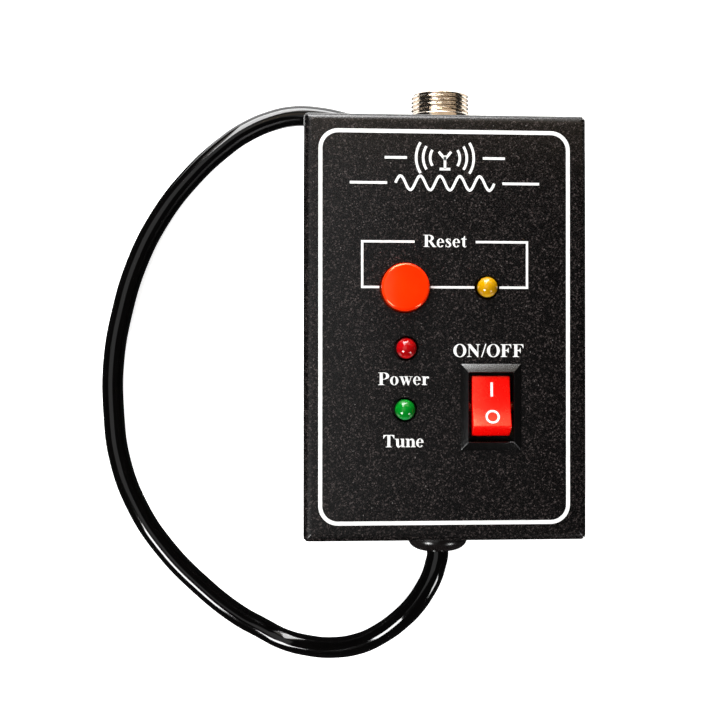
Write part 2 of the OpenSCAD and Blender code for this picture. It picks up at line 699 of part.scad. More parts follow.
// Crimped ring terminal whose barrel starts where a core ends and points along its last stretch
module ring_terminal(core) {
    end = core[len(core) - 1];
    way = end - core[len(core) - 2];
    translate([end[0], end[1], 3]) rotate([0, 0, atan2(way[1], way[0])]) difference() {
        union() {
            translate([-1, 0, 0]) rotate([0, 90, 0]) cylinder(r = 1.9, h = 7, $fn = small_fn);
            translate([5, -1.9, -0.4]) cube([4, 3.8, 0.8]);
            translate([11.5, 0, -0.4]) cylinder(r = ring_r, h = 0.8, $fn = small_fn);
        }
        translate([11.5, 0, -2]) cylinder(r = ring_hole_r, h = 4, $fn = small_fn);
        translate([-2, 0, 0]) rotate([0, 90, 0]) cylinder(r = core_r + 0.02, h = 3, $fn = small_fn);
    }
}

module ring_terminals() color("#b8b8b4") {
    ring_terminal(red_core);
    ring_terminal(black_core);
}

housing();
rear_cover();
corner_posts();
cover_screws();
rubber_feet();
circuit_board();
board_posts();
board_screws();
reset_cap();
reset_stem();
tact_base();
tact_cover();
tact_dome();
reset_led();
power_led();
tune_led();
led_leads();
led_spacers();
resistors();
control_chip();
capacitors();
regulator();
signal_header();
power_terminal_block();
switch_body();
rocker();
rocker_marks();
switch_plunger();
switch_spring();
contact_bridge();
switch_terminals();
socket_shell();
socket_insert();
socket_contacts();
socket_washer();
socket_nut();
cord_gland();
inner_cord();
inner_cable_tie();
supply_wires();
switched_wire();
signal_wires();
power_cord();
cord_hank();
hank_ties();
cord_tail();
cord_cores();
ring_terminals();
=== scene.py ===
"""Looks of the antenna tuner's control box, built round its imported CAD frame.

The row frame: the box lies on its back, +Z out of the front panel, +Y towards the socket.
Shapes are worked out in millimetres and turned into metres as each mesh is made.
"""

import json
import math

import bmesh
import bpy
from mathutils import Matrix, Vector


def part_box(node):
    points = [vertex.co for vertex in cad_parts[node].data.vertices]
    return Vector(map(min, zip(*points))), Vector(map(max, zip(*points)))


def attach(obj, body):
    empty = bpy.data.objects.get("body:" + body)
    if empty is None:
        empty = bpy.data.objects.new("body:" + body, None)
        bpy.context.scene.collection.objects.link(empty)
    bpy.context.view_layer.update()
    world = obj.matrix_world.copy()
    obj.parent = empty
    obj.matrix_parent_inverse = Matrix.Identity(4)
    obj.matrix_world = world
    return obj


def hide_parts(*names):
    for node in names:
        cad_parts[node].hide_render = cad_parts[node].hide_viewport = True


MM = 0.001
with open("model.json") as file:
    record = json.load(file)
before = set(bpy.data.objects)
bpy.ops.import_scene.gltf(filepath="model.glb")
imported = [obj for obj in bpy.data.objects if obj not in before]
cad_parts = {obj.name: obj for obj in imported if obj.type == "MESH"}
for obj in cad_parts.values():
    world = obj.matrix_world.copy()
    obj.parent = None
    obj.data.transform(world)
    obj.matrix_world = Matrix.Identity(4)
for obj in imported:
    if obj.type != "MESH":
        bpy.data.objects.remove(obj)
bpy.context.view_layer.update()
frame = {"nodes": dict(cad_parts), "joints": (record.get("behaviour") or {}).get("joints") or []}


def span(node):
    """Lowest and highest corner of a CAD node, in millimetres."""
    low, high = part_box(node)
    return low / MM, high / MM


def middle(node):
    low, high = span(node)
    return (low + high) / 2


CASE_LOW, CASE_HIGH = span("housing")
FRONT = CASE_HIGH.z
BOX_Y = middle("housing").y
SOCKET_WALL, CORD_WALL = CASE_HIGH.y, CASE_LOW.y
PIVOT = Vector(next(j for j in frame["joints"] if j["name"] == "power_rock")["pos_m"]) / MM
SOCKET = middle("socket_shell")
GLAND = middle("cord_gland")
MOUTH = span("cord_gland")[0].y

scene = bpy.context.scene
scene.view_settings.view_transform = "Standard"


# ---------- camera ----------

CAMERA_AT = (-30.38, BOX_Y - 10.79, 351.29)
CAMERA_TILTS = ((-0.403, "X"), (4.177, "Y"), (-0.009, "Z"))
CAMERA_LENS = 64.5
CAMERA_SHIFT = (-0.0755, 0.0036)
SENSOR_W = 36


def make_camera():
    data = bpy.data.cameras.new("camera")
    data.lens, data.sensor_width = CAMERA_LENS, SENSOR_W
    data.shift_x, data.shift_y = CAMERA_SHIFT
    data.clip_start = 0.01
    camera = bpy.data.objects.new("camera", data)
    scene.collection.objects.link(camera)
    turn = Matrix.Identity(3)
    for degrees, axis in CAMERA_TILTS:
        turn = turn @ Matrix.Rotation(math.radians(degrees), 3, axis)
    camera.matrix_world = Matrix.Translation(Vector(CAMERA_AT) * MM) @ turn.transposed().to_4x4()
    scene.camera = camera


make_camera()


# ---------- materials ----------

RAMP_STOPS = (0.35, 0.65)
SMOOTHEST = 0.02
# How far each painted glint speck reaches within its cell.
GLINT_REACH = 0.28
# Painted light on the lenses: a painted glow on the side facing this way, and painted shade at their foot.
PAINTED_GLOW_SIDE = (0.05, -1, 0)
PAINTED_GLOW_RANGE = (0.66, 0.98)
LENS_SHADE = (FRONT + 0.75, FRONT + 1.0)


def coordinates(tree, kind="Object"):
    return tree.nodes.new("ShaderNodeTexCoord").outputs[kind]


def noise(tree, coords, size, detail):
    """A noise with lumps of about size millimetres."""
    made = tree.nodes.new("ShaderNodeTexNoise")
    made.inputs["Scale"].default_value = 1 / (size * MM)
    made.inputs["Detail"].default_value = detail
    tree.links.new(coords, made.inputs["Vector"])
    return made.outputs["Fac"]


def cells(tree, size):
    """Cells of size millimetres: a random number for each, and the distance from the cell's own point."""
    made = tree.nodes.new("ShaderNodeTexVoronoi")
    made.inputs["Scale"].default_value = 1 / (size * MM)
    tree.links.new(coordinates(tree), made.inputs["Vector"])
    split = tree.nodes.new("ShaderNodeSeparateColor")
    tree.links.new(made.outputs["Color"], split.inputs["Color"])
    return split.outputs["Red"], made.outputs["Distance"]


def spread(tree, value, low, high, at_low=0, at_high=1):
    """Goes from at_low to at_high as the socket value goes from low to high, and no further."""
    made = tree.nodes.new("ShaderNodeMapRange")
    for entry, number in (("From Min", low), ("From Max", high), ("To Min", at_low), ("To Max", at_high)):
        made.inputs[entry].default_value = number
    tree.links.new(value, made.inputs["Value"])
    return made.outputs["Result"]


def worked_out(tree, operation, *values):
    """A Math node's result from values that are each a socket or a number."""
    made = tree.nodes.new("ShaderNodeMath")
    made.operation = operation
    for entry, value in zip(made.inputs, values):
        if isinstance(value, (int, float)):
            entry.default_value = value
        else:
            tree.links.new(value, entry)
    return made.outputs[0]


def lay_over(material, colour, share):
    """Mixes colour over the material's base colour. The socket share says how much of it shows."""
    tree = material.node_tree
    base = tree.nodes["Principled BSDF"].inputs["Base Color"]
    mix = tree.nodes.new("ShaderNodeMix")
    mix.data_type = "RGBA"
    mix.inputs["B"].default_value = (*colour, 1)
    tree.links.new(share, mix.inputs["Factor"])
    tree.links.new(base.links[0].from_socket, mix.inputs["A"])
    tree.links.new(mix.outputs["Result"], base)


def paint(name, colour, second, patch, rough, swing, grain, height, **sockets):
    """A Principled material. The base colour drifts from colour to second over patches of that size, and a
    second noise, grain millimetres across, moves the roughness by swing and the surface by height."""
    made = bpy.data.materials.new(name)
    made.use_nodes = True
    tree = made.node_tree
    shader = tree.nodes["Principled BSDF"]
    coords = coordinates(tree)
    ramp = tree.nodes.new("ShaderNodeValToRGB")
    for stop, position, shade in zip(ramp.color_ramp.elements, RAMP_STOPS, (colour, second)):
        stop.position, stop.color = position, (*shade, 1)
    tree.links.new(noise(tree, coords, patch, 4), ramp.inputs["Fac"])
    tree.links.new(ramp.outputs["Color"], shader.inputs["Base Color"])
    fine = noise(tree, coords, grain, 3)
    tree.links.new(spread(tree, fine, 0, 1, max(rough - swing, SMOOTHEST), rough + swing), shader.inputs["Roughness"])
    bump = tree.nodes.new("ShaderNodeBump")
    bump.inputs["Distance"].default_value = height * MM
    tree.links.new(fine, bump.inputs["Height"])
    tree.links.new(bump.outputs["Normal"], shader.inputs["Normal"])
    for key, value in sockets.items():
        shader.inputs[key.replace("_", " ")].default_value = value
    return made


def add_grains(material, size, power, colour):
    """Grains of the coat, each its own shade. A high power leaves most of them dark."""
    tree = material.node_tree
    lay_over(material, colour, worked_out(tree, "POWER", cells(tree, size)[0], power))


def add_painted_glints(material, size, share, colour):
    """Small lighter specks painted into the coat's colour, as painted glints off its textured surface."""
    tree = material.node_tree
    number, distance = cells(tree, size)
    chosen = worked_out(tree, "GREATER_THAN", number, 1 - share)
    near = worked_out(tree, "LESS_THAN", distance, GLINT_REACH)
    lay_over(material, colour, worked_out(tree, "MULTIPLY", chosen, near))


def epoxy(name, colour, second, lit, foot_shade):
    """A lamp's lens, with a painted glow on the side away from the main light and painted shade at its foot."""
    made = paint(name, colour, second, 5, 0.06, 0.005, 3, 0, Coat_Weight=0.2, Coat_Roughness=0.03)
    tree = made.node_tree
    # Painted glow: a brighter colour laid on the lens's side facing away from the main light, where its light gathers.
    facing = tree.nodes.new("ShaderNodeVectorMath")
    facing.operation = "DOT_PRODUCT"
    facing.inputs[1].default_value = PAINTED_GLOW_SIDE
    tree.links.new(coordinates(tree, "Normal"), facing.inputs[0])
    lay_over(made, lit, spread(tree, facing.outputs["Value"], *PAINTED_GLOW_RANGE))
    # Painted shade: a darker colour that fades in towards the lens's foot, below the dome.
    axes = tree.nodes.new("ShaderNodeSeparateXYZ")
    tree.links.new(coordinates(tree), axes.inputs["Vector"])
    lay_over(made, foot_shade, spread(tree, axes.outputs["Z"], *(z * MM for z in LENS_SHADE), 1, 0))
    return made


powder = paint("powder_coat", (0.0003, 0.0002, 0.0002), (0.0008, 0.0005, 0.0005), 3, 0.27, 0.05, 0.32, 0.045,
               Specular_IOR_Level=0.45)
add_grains(powder, 0.28, 8, (0.058, 0.047, 0.045))
# Painted glints: rare lighter specks in the coat's colour.
add_painted_glints(powder, 0.5, 0.008, (0.14, 0.13, 0.125))
cover_coat = paint("cover_coat", (0.011, 0.0098, 0.0095), (0.02, 0.018, 0.017), 0.6, 0.5, 0.1, 0.5, 0.09)
ink = paint("printing_ink", (0.93, 0.93, 0.92), (0.82, 0.82, 0.81), 0.7, 0.55, 0.06, 0.3, 0.03)
orange = paint("orange_moulding", (0.97, 0.03, 0.0), (0.93, 0.023, 0.0), 9, 0.13, 0.02, 2.5, 0.004,
               Specular_IOR_Level=0.8, Specular_Tint=(1, 0.9, 0.45, 1))
# Each lens: its colour, a second tone, a painted glow colour and a painted shade colour for its foot.
amber = epoxy("amber_epoxy", (0.57, 0.285, 0.0), (0.53, 0.25, 0.0), (0.85, 0.5, 0.03), (0.14, 0.06, 0.0))
red_lens = epoxy("red_epoxy", (0.4, 0.001, 0.003), (0.35, 0.001, 0.002), (0.75, 0.01, 0.015), (0.1, 0.0, 0.0))
green_lens = epoxy("green_epoxy", (0.0, 0.21, 0.014), (0.0, 0.18, 0.01), (0.03, 0.42, 0.1), (0.0, 0.04, 0.006))
rocker_red = paint("rocker_red", (1.0, 0.0015, 0.001), (0.97, 0.0015, 0.001), 6, 0.27, 0.04, 1.6, 0.004,
                   Specular_IOR_Level=0.8, Specular_Tint=(1, 1, 0.55, 1))
switch_black = paint("switch_black", (0.0004, 0.0003, 0.0003), (0.0009, 0.0007, 0.0007), 0.5, 0.24, 0.06, 0.28, 0.045,
                     Specular_IOR_Level=0.65)
nickel = paint("nickel_plate", (0.76, 0.68, 0.58), (0.66, 0.58, 0.49), 1.6, 0.1, 0.04, 0.5, 0.004, Metallic=1)
zinc = paint("zinc_plate", (0.56, 0.56, 0.53), (0.44, 0.44, 0.43), 1.5, 0.3, 0.08, 0.6, 0.01, Metallic=1)
tinned = paint("tinned_metal", (0.66, 0.65, 0.62), (0.52, 0.51, 0.49), 1.2, 0.28, 0.08, 0.5, 0.01, Metallic=1)
brass = paint("stamped_brass", (0.74, 0.5, 0.19), (0.6, 0.38, 0.14), 1.5, 0.27, 0.07, 0.5, 0.008, Metallic=1)
gold = paint("gold_flash", (0.86, 0.63, 0.26), (0.75, 0.52, 0.2), 1.5, 0.2, 0.05, 0.5, 0.005, Metallic=1)
sheath = paint("cord_sheath", (0.0005, 0.0004, 0.0004), (0.001, 0.0008, 0.0008), 3.5, 0.08, 0.02, 1.6, 0.005)
gland_rubber = paint("gland_rubber", (0.004, 0.003, 0.003), (0.008, 0.006, 0.006), 2, 0.22, 0.05, 0.9, 0.012)
foot_rubber = paint("foot_rubber", (0.014, 0.014, 0.014), (0.024, 0.023, 0.023), 1.5, 0.72, 0.08, 0.4, 0.04)
strap = paint("woven_strap", (0.012, 0.012, 0.013), (0.03, 0.03, 0.031), 0.45, 0.9, 0.05, 0.35, 0.12,
              Sheen_Weight=0.4)
core_red = paint("core_red", (0.5, 0.006, 0.006), (0.38, 0.004, 0.004), 2, 0.35, 0.05, 0.8, 0.01)
core_black = paint("core_black", (0.01, 0.01, 0.01), (0.016, 0.016, 0.016), 2, 0.35, 0.05, 0.8, 0.01)
blue_wire = paint("wire_blue", (0.02, 0.07, 0.42), (0.015, 0.05, 0.3), 2, 0.38, 0.05, 0.8, 0.01)
black_plastic = paint("black_moulding", (0.012, 0.012, 0.012), (0.019, 0.019, 0.019), 1.5, 0.48, 0.06, 0.4, 0.012)
white_plastic = paint("natural_nylon", (0.76, 0.74, 0.67), (0.66, 0.64, 0.57), 2, 0.42, 0.06, 0.5, 0.01,
                      Subsurface_Weight=0.2, Subsurface_Scale=0.001)
board_green = paint("solder_mask", (0.008, 0.13, 0.045), (0.014, 0.19, 0.07), 2.4, 0.3, 0.06, 1.1, 0.012)
resistor_tan = paint("resistor_lacquer", (0.56, 0.4, 0.2), (0.42, 0.2, 0.09), 1.1, 0.4, 0.06, 0.6, 0.01)
chip_black = paint("moulded_epoxy", (0.015, 0.015, 0.015), (0.026, 0.026, 0.026), 0.8, 0.62, 0.06, 0.25, 0.02)
sleeve_blue = paint("shrink_sleeve", (0.02, 0.035, 0.1), (0.03, 0.05, 0.13), 2, 0.3, 0.05, 0.7, 0.008)
block_blue = paint("block_blue", (0.01, 0.13, 0.46), (0.008, 0.1, 0.36), 2, 0.42, 0.05, 0.5, 0.01)
floor_white = paint("studio_floor", (0.93, 0.93, 0.93), (0.9, 0.9, 0.9), 300, 0.85, 0.03, 60, 0.02,
                    Emission_Color=(1, 1, 1, 1), Emission_Strength=0.85)
key_glow = paint("key_glow", (0.9, 0.9, 0.9), (0.86, 0.86, 0.86), 40, 0.8, 0.03, 10, 0,
                 Emission_Color=(1, 1, 1, 1), Emission_Strength=13)
card_white = paint("bounce_card", (0.9, 0.9, 0.9), (0.86, 0.86, 0.86), 40, 0.8, 0.03, 10, 0.02,
                   Emission_Color=(1, 1, 1, 1), Emission_Strength=0.7)
card_tan = paint("tan_card", (0.1, 0.08, 0.05), (0.09, 0.07, 0.045), 40, 0.8, 0.03, 10, 0,
                 Emission_Color=(1, 0.8, 0.6, 1), Emission_Strength=0.6)


# ---------- shapes: each is a shell, (points in mm, faces) ----------

BEVEL_FROM = 40
SPLINE_STEPS = 6
SAME_POINT = 1e-7
Z_TO_X = Matrix.Rotation(math.radians(90), 4, "Y")


def joined(*shells):
    points, faces = [], []
    for p, f in shells:
        start = len(points)
        points += p
        faces += [tuple(i + start for i in face) for face in f]
    return points, faces


def moved(shell, matrix):
    return [tuple(matrix @ Vector(p)) for p in shell[0]], shell[1]


def filleted(corners, steps, closed=False):
    """The polyline through corners, each (x, y, radius), with an arc of that radius in each corner."""
    out = []
    for i, (x, y, r) in enumerate(corners):
        if r == 0 or (not closed and i in (0, len(corners) - 1)):
            out.append((x, y))
            continue
        at = Vector((x, y))
        u = (Vector(corners[i - 1][:2]) - at).normalized()
        v = (Vector(corners[(i + 1) % len(corners)][:2]) - at).normalized()
        half = u.angle(v) / 2
        centre = at + (u + v).normalized() * (r / math.sin(half))
        a = at + u * (r / math.tan(half)) - centre
        b = at + v * (r / math.tan(half)) - centre
        swing = a.angle(b)
        for k in range(steps + 1):
            t = k / steps
            arm = (math.sin((1 - t) * swing) * a + math.sin(t * swing) * b) / math.sin(swing)
            out.append(tuple(centre + arm))
    return out


def stack(rings, closed=False):
    """Skin over rings that all have the same number of points. A ring may be one point."""
    points, faces, index = [], [], []
    for ring in rings:
        index.append(list(range(len(points), len(points) + len(ring))))
        points += [tuple(p) for p in ring]
    pairs = list(zip(index, index[1:])) + ([(index[-1], index[0])] if closed else [])
    for a, b in pairs:
        for k in range(max(len(a), len(b))):
            n = k + 1
            if len(a) == 1:
                faces.append((a[0], b[k], b[n % len(b)]))
            elif len(b) == 1:
                faces.append((a[k], a[n % len(a)], b[0]))
            else:
                faces.append((a[k], a[n % len(a)], b[n % len(b)], b[k]))
    if not closed:
        faces += [tuple(i) for i in (index[0], index[-1]) if len(i) > 1]
    return points, faces


def lathe(profile, centre, along, steps, closed=False):
    """profile is (radius, height) pairs, with the height an offset from centre along that axis."""
    rings = []
    for r, h in profile:
        if r < 1e-6:
            flat = [(0, 0)]
        else:
            flat = [(r * math.cos(math.tau * k / steps), r * math.sin(math.tau * k / steps)) for k in range(steps)]
        if along == "Z":
            rings.append([(centre[0] + u, centre[1] + v, centre[2] + h) for u, v in flat])
        else:
            rings.append([(centre[0] + u, centre[1] + h, centre[2] + v) for u, v in flat])
    return stack(rings, closed)


def rounded_rect(centre, half_x, half_y, r, z, steps):
    """A rectangle at height z, with corners of radius r in that many steps."""
    ring = []
    for quarter in range(4):
        sx = 1 if quarter in (0, 3) else -1
        sy = 1 if quarter in (0, 1) else -1
        for k in range(steps + 1):
            a = math.radians(90 * quarter + 90 * k / steps)
            ring.append((centre[0] + sx * (half_x - r) + r * math.cos(a),
                         centre[1] + sy * (half_y - r) + r * math.sin(a), z))
    return ring


def block(low, high):
    (x0, y0, z0), (x1, y1, z1) = low, high
    return stack([[(x0, y0, z), (x1, y0, z), (x1, y1, z), (x0, y1, z)] for z in (z0, z1)])


def strip(path, width, low, high, closed):
    """Flat band of that width along a path of (x, y), from height low to height high."""
    count = len(path)
    left, right = [], []
    for i, p in enumerate(path):
        p = Vector(p)
        before = (p - Vector(path[i - 1])).normalized() if closed or i else None
        after = (Vector(path[(i + 1) % count]) - p).normalized() if closed or i < count - 1 else None
        before, after = before or after, after or before
        way = (before + after).normalized()
        side = Vector((-way.y, way.x)) * (width / 2 / max(way.dot(before), 0.3))
        left.append(p + side)
        right.append(p - side)
    rings = [[(*a, low), (*b, low), (*b, high), (*a, high)] for a, b in zip(left, right)]
    return stack(rings, closed)


def arc(centre, radius, start, end, steps):
    """Points of an arc from start to end, in degrees."""
    return [(centre[0] + radius * math.cos(math.radians(start + (end - start) * k / steps)),
             centre[1] + radius * math.sin(math.radians(start + (end - start) * k / steps)))
            for k in range(steps + 1)]


def place(obj, material, body, nodes):
    """Gives obj its material and its body, and hides the CAD nodes it stands for."""
    obj.data.materials.append(material)
    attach(obj, body)
    if nodes:
        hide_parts(*nodes)
    return obj


def settle(obj):
    """Turns obj's modifiers into its mesh."""
    seen = obj.evaluated_get(bpy.context.evaluated_depsgraph_get())
    obj.data, old = bpy.data.meshes.new_from_object(seen), obj.data
    obj.modifiers.clear()
    bpy.data.meshes.remove(old)


def mesh_object(name, shell):
    """A shell as an object of the scene, with doubled points merged and its faces turned outwards."""
    mesh = bpy.data.meshes.new(name)
    mesh.from_pydata([Vector(p) * MM for p in shell[0]], [], shell[1])
    work = bmesh.new()
    work.from_mesh(mesh)
    bmesh.ops.remove_doubles(work, verts=work.verts, dist=SAME_POINT)
    bmesh.ops.recalc_face_normals(work, faces=work.faces)
    work.to_mesh(mesh)
    work.free()
    obj = bpy.data.objects.new(name, mesh)
    scene.collection.objects.link(obj)
    return obj


def piece(name, shell, material, body="case", nodes=(), cuts=None, bevel=0, sharp=32):
    """One mesh piece. cuts is a shell taken out of it, and bevel rounds its sharp edges by that many millimetres."""
    obj = mesh_object(name, shell)
    if cuts:
        tool = mesh_object(name + "_tool", cuts)
        cut = obj.modifiers.new("cut", "BOOLEAN")
        cut.operation, cut.solver, cut.object = "DIFFERENCE", "EXACT", tool
        settle(obj)
        bpy.data.objects.remove(tool)
    if bevel:
        soft = obj.modifiers.new("soft", "BEVEL")
        soft.width, soft.segments, soft.limit_method = bevel * MM, 3, "ANGLE"
        soft.angle_limit = math.radians(BEVEL_FROM)
        settle(obj)
    obj.data.name = name
    obj.data.shade_smooth()
    obj.data.set_sharp_from_angle(angle=math.radians(sharp))
    return place(obj, material, body, nodes)


def tube(name, path, radius, material, nodes=(), sides=6):
    """Round tube on one open smooth spline through the points of path."""
    curve = bpy.data.curves.new(name, "CURVE")
    curve.dimensions = "3D"
    curve.bevel_depth, curve.bevel_resolution = radius * MM, sides
    curve.resolution_u, curve.use_fill_caps = SPLINE_STEPS, True
    spline = curve.splines.new("BEZIER")
    spline.bezier_points.add(len(path) - 1)
    for point, p in zip(spline.bezier_points, path):
        point.co = Vector(p) * MM
        point.handle_left_type = point.handle_right_type = "AUTO"
    obj = bpy.data.objects.new(name, curve)
    scene.collection.objects.link(obj)
    return place(obj, material, "case", nodes)


# ---------- cord, its hank and its end ----------

CORD_R = 2.75
HANK_Z = 3.2
HANK_RADII = (28, 22.25, 16.5)
HANK_HALF_RUN = 19
JOIN_ANGLE = 65
CORD_ROUTE = [
    (GLAND.x, MOUTH, GLAND.z), (GLAND.x, MOUTH - 1.2, GLAND.z),
    (-1, -61.2, 23.9), (-2, -64.6, 23.6), (-3.7, -68.1, 23),
    (-6.2, -72, 22), (-9.8, -76, 20.4), (-14.9, -80.3, 17.4), (-20.4, -83.5, 13.8),
    (-27, -85.2, 10), (-33.6, -85.3, 6.5), (-40.2, -84, 3.9), (-46.2, -81, 3),
    (-52.2, -77.6, 2.8), (-62.2, -69.5, 2.8), (-71.7, -59.5, 2.8), (-78.7, -48.8, 2.8),
    (-83.5, -36, 2.8), (-85.2, -23, 2.8), (-85.2, -9.7, 2.8), (-83, 3.5, 2.8),
    (-79.2, 16.2, 2.8), (-73.3, 28.2, 2.8), (-65.2, 39.1, 2.8), (-55.4, 48.4, 2.8),
    (-50, 52.1, 2.8), (-43.7, 54.9, 2.8), (-37.7, 56.3, 2.8), (-31.5, 56.2, 2.8),
    (-24, 54.8, 2.9), (-17, 52.7, 3.1), (-9, 50, 3.2), (-2, 47.5, 3.2),
]
TAIL_ROUTE = [(x, y, HANK_Z) for x, y in ((-16.4, -15.5), (-15.8, -10), (-14.6, -5), (-12.4, 0), (-10.6, 5))]
CORE_ROUTES = {
    "red": [(-10.3, 4.2, 3.2), (-9.8, 4.8, 3.2), (-8.2, 8, 3.1), (-5.6, 10.5, 3), (-2.6, 12.5, 3)],
    "black": [(-11.2, 4.2, 3.2), (-11.5, 5, 3.2), (-10.9, 8.5, 3.1), (-9.6, 12, 3), (-8.2, 14.5, 3)],
}
CORE_R = 0.9
TERMINAL_Z = 3.0
EYE_X, EYE_R, RING_R = 11.5, 2.15, 4.0
STRAP_T, STRAP_HALF_W, STRAP_OFF = 0.38, 1.5, 12


def smoothstep(t):
    return t * t * (3 - 2 * t)


def hank_side(turn, y):
    """Distance of a turn from the hank's middle on its left side, where it steps in to the next turn."""
    step = HANK_RADII[0] - HANK_RADII[1] if turn < 2 else 0
    t = min(max((y - BOX_Y + HANK_HALF_RUN) / (2 * HANK_HALF_RUN), 0), 1)
    return HANK_RADII[turn] - step * smoothstep(t)


def hank_route():
    """The cord's three turns, from where it joins the outer one to the end of the inner one."""
    out = []
    top, bottom = BOX_Y + HANK_HALF_RUN, BOX_Y - HANK_HALF_RUN
    for turn, r in enumerate(HANK_RADII):
        start = 180 if turn else JOIN_ANGLE
        out += [(x, y, HANK_Z) for x, y in arc((0, top), r, start, 0, round(start / 20))]
        out += [(r, BOX_Y + y, HANK_Z) for y in (10, 0, -10)]
        out += [(x, y, HANK_Z) for x, y in arc((0, bottom), r, 0, -180, 9)]
        if turn < 2:
            out += [(-hank_side(turn, BOX_Y + y), BOX_Y + y, HANK_Z) for y in (-10, 0, 10)]
    return out


def strap_loop(name, left, right, y):
    """Strap round a bundle of cords whose outer centrelines are at left and right, with its end laid over it."""
    inner, thick, half_width = CORD_R + 0.02, STRAP_T, STRAP_HALF_W
    loop = [(left - inner * math.sin(math.pi * k / 12), inner * math.cos(math.pi * k / 12)) for k in range(13)]
    loop += [(right + inner * math.sin(math.pi * k / 12), -inner * math.cos(math.pi * k / 12)) for k in range(13)]
    rings = []
    for x, z in loop:
        out = Vector((x - min(max(x, left), right), z)).normalized()
        rings.append([(x + out.x * d, y + w, HANK_Z + z + out.y * d)
                      for d, w in ((0, -half_width), (thick * 0.75, -half_width), (thick, -half_width + 0.12),
                                   (thick, half_width - 0.12), (thick * 0.75, half_width), (0, half_width))])
    flap_z = HANK_Z + inner + thick + 0.01
    flap_left = (left + right) / 2 - 5
    flap = stack([[(x, y + w, z) for w, z in ((-1.4, flap_z), (1.4, flap_z), (1.4, top), (-1.4, top))]
                  for x, top in ((flap_left, flap_z + 0.12), (flap_left + 0.8, flap_z + 0.36),
                                 (flap_left + 7.4, flap_z + 0.36), (flap_left + 8.2, flap_z + 0.05))])
    return piece(name, joined(stack(rings, closed=True), flap), strap)


def make_straps():
    out = []
    for end, y in (("low", BOX_Y - STRAP_OFF), ("high", BOX_Y + STRAP_OFF)):
        inner_turn = 2 if y < BOX_Y else 1
        out.append(strap_loop(f"strap_left_{end}", -hank_side(0, y), -hank_side(inner_turn, y), y))
        out.append(strap_loop(f"strap_right_{end}", HANK_RADII[2], HANK_RADII[0], y))
    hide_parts("hank_ties")
    return out


def make_terminal(name, route, sleeve_material):
    """Crimped ring terminal on the end of a core, with its insulating sleeve as a separate piece."""
    end, way = Vector(route[-1]), Vector(route[-1]) - Vector(route[-2])
    turn = Matrix.Translation((end.x, end.y, TERMINAL_Z)) @ Matrix.Rotation(math.atan2(way.y, way.x), 4, "Z")
    barrel = lathe(filleted([(0.95, -0.8, 0), (1.35, -0.8, 0.1), (1.5, 2.2, 0), (1.2, 2.9, 0.3), (1.2, 3.4, 0.3),
                             (1.5, 4.1, 0.2), (1.5, 5.9, 0.15), (0.95, 5.9, 0)], 3), (0, 0, 0), "Z", 40, closed=True)
    outline = [(5.2, -1.35), (6.6, -1.5)] + arc((EYE_X, 0), RING_R, -152, 152, 40) + [(6.6, 1.5), (5.2, 1.35)]
    blade = stack([[(x, y, z) for x, y in outline] for z in (-0.4, 0.4)])
    eye = lathe([(0, -2), (EYE_R, -2), (EYE_R, 2), (0, 2)], (EYE_X, 0, 0), "Z", 48)
    metal = piece(name, moved(blade, turn), tinned, cuts=moved(eye, turn), bevel=0.12)
    crimp = piece(name + "_barrel", moved(moved(barrel, Z_TO_X), turn), tinned)
    sleeve = lathe(filleted([(1.55, -1.0, 0), (1.9, -1.0, 0.12), (1.9, 1.2, 0.3), (1.72, 2.6, 0.5), (1.86, 4.2, 0.3),
                             (1.86, 5.2, 0.12), (1.55, 5.2, 0)], 4), (0, 0, 0), "Z", 48, closed=True)
    cover = piece(name + "_sleeve", moved(moved(sleeve, Z_TO_X), turn), sleeve_material)
    return [metal, crimp, cover]


def make_cord():
    route = CORD_ROUTE + hank_route() + TAIL_ROUTE
    lead = tube("power_lead", route, CORD_R, sheath, ("power_cord", "cord_hank", "cord_tail"), 10)
    with_it = make_straps()
    with_it.append(tube("core_red_wire", CORE_ROUTES["red"], CORE_R, core_red, ("cord_cores",)))
    with_it.append(tube("core_black_wire", CORE_ROUTES["black"], CORE_R, core_black))
    ends = make_terminal("terminal_red", CORE_ROUTES["red"], core_red)
    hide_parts("ring_terminals")
    ends += make_terminal("terminal_black", CORE_ROUTES["black"], core_black)


make_cord()


# ---------- box ----------

SHEET = 1.0
FOLD_R = 2.0
CORNER_R = 1.2
GROOVE_HALF = 0.11
FOOT_REACH = (5.999, 6)
BUTTON_HOLE_R, LAMP_HOLE_R, SOCKET_HOLE_R, GLAND_HOLE_R = 6.05, 2.9, 6.1, 5.5
SWITCH_HOLE_HALF = (6.6, 9.7)
EDGE_BREAK = 0.15
LAMPS = {"reset_led": (amber, "lens_amber"), "power_led": (red_lens, "lens_red"),
         "tune_led": (green_lens, "lens_green")}


def hole(at, r):
    """Cutter for a round hole in the panel, with its edge broken."""
    low = FRONT - 2
    wide = r + EDGE_BREAK
    return lathe([(0, low), (r, low), (r, FRONT - EDGE_BREAK), (wide, FRONT), (wide, FRONT + 1), (0, FRONT + 1)],
                 (at.x, at.y, 0), "Z", 72)


def corner_groove(sx, sy):
    """Cutter for the seam down one corner of the folded sheet and over its fold."""
    side = [(-2, 7), (0.76, 7), (0.76, 39), (1.0, 39.86), (1.28, 40.2), (1.68, 40.48), (2.3, 40.7), (2.7, 40.82),
            (2.7, 43), (-2, 43)]
    way = Vector((-sx, -sy, 0)).normalized()
    across = Vector((sy, -sx, 0)).normalized() * GROOVE_HALF
    tip = Vector((sx * CASE_HIGH.x, BOX_Y + sy * (CASE_HIGH.y - BOX_Y), 0))
    return stack([[tuple(tip + way * d + across * s + Vector((0, 0, z))) for d, z in side] for s in (-1, 1)])


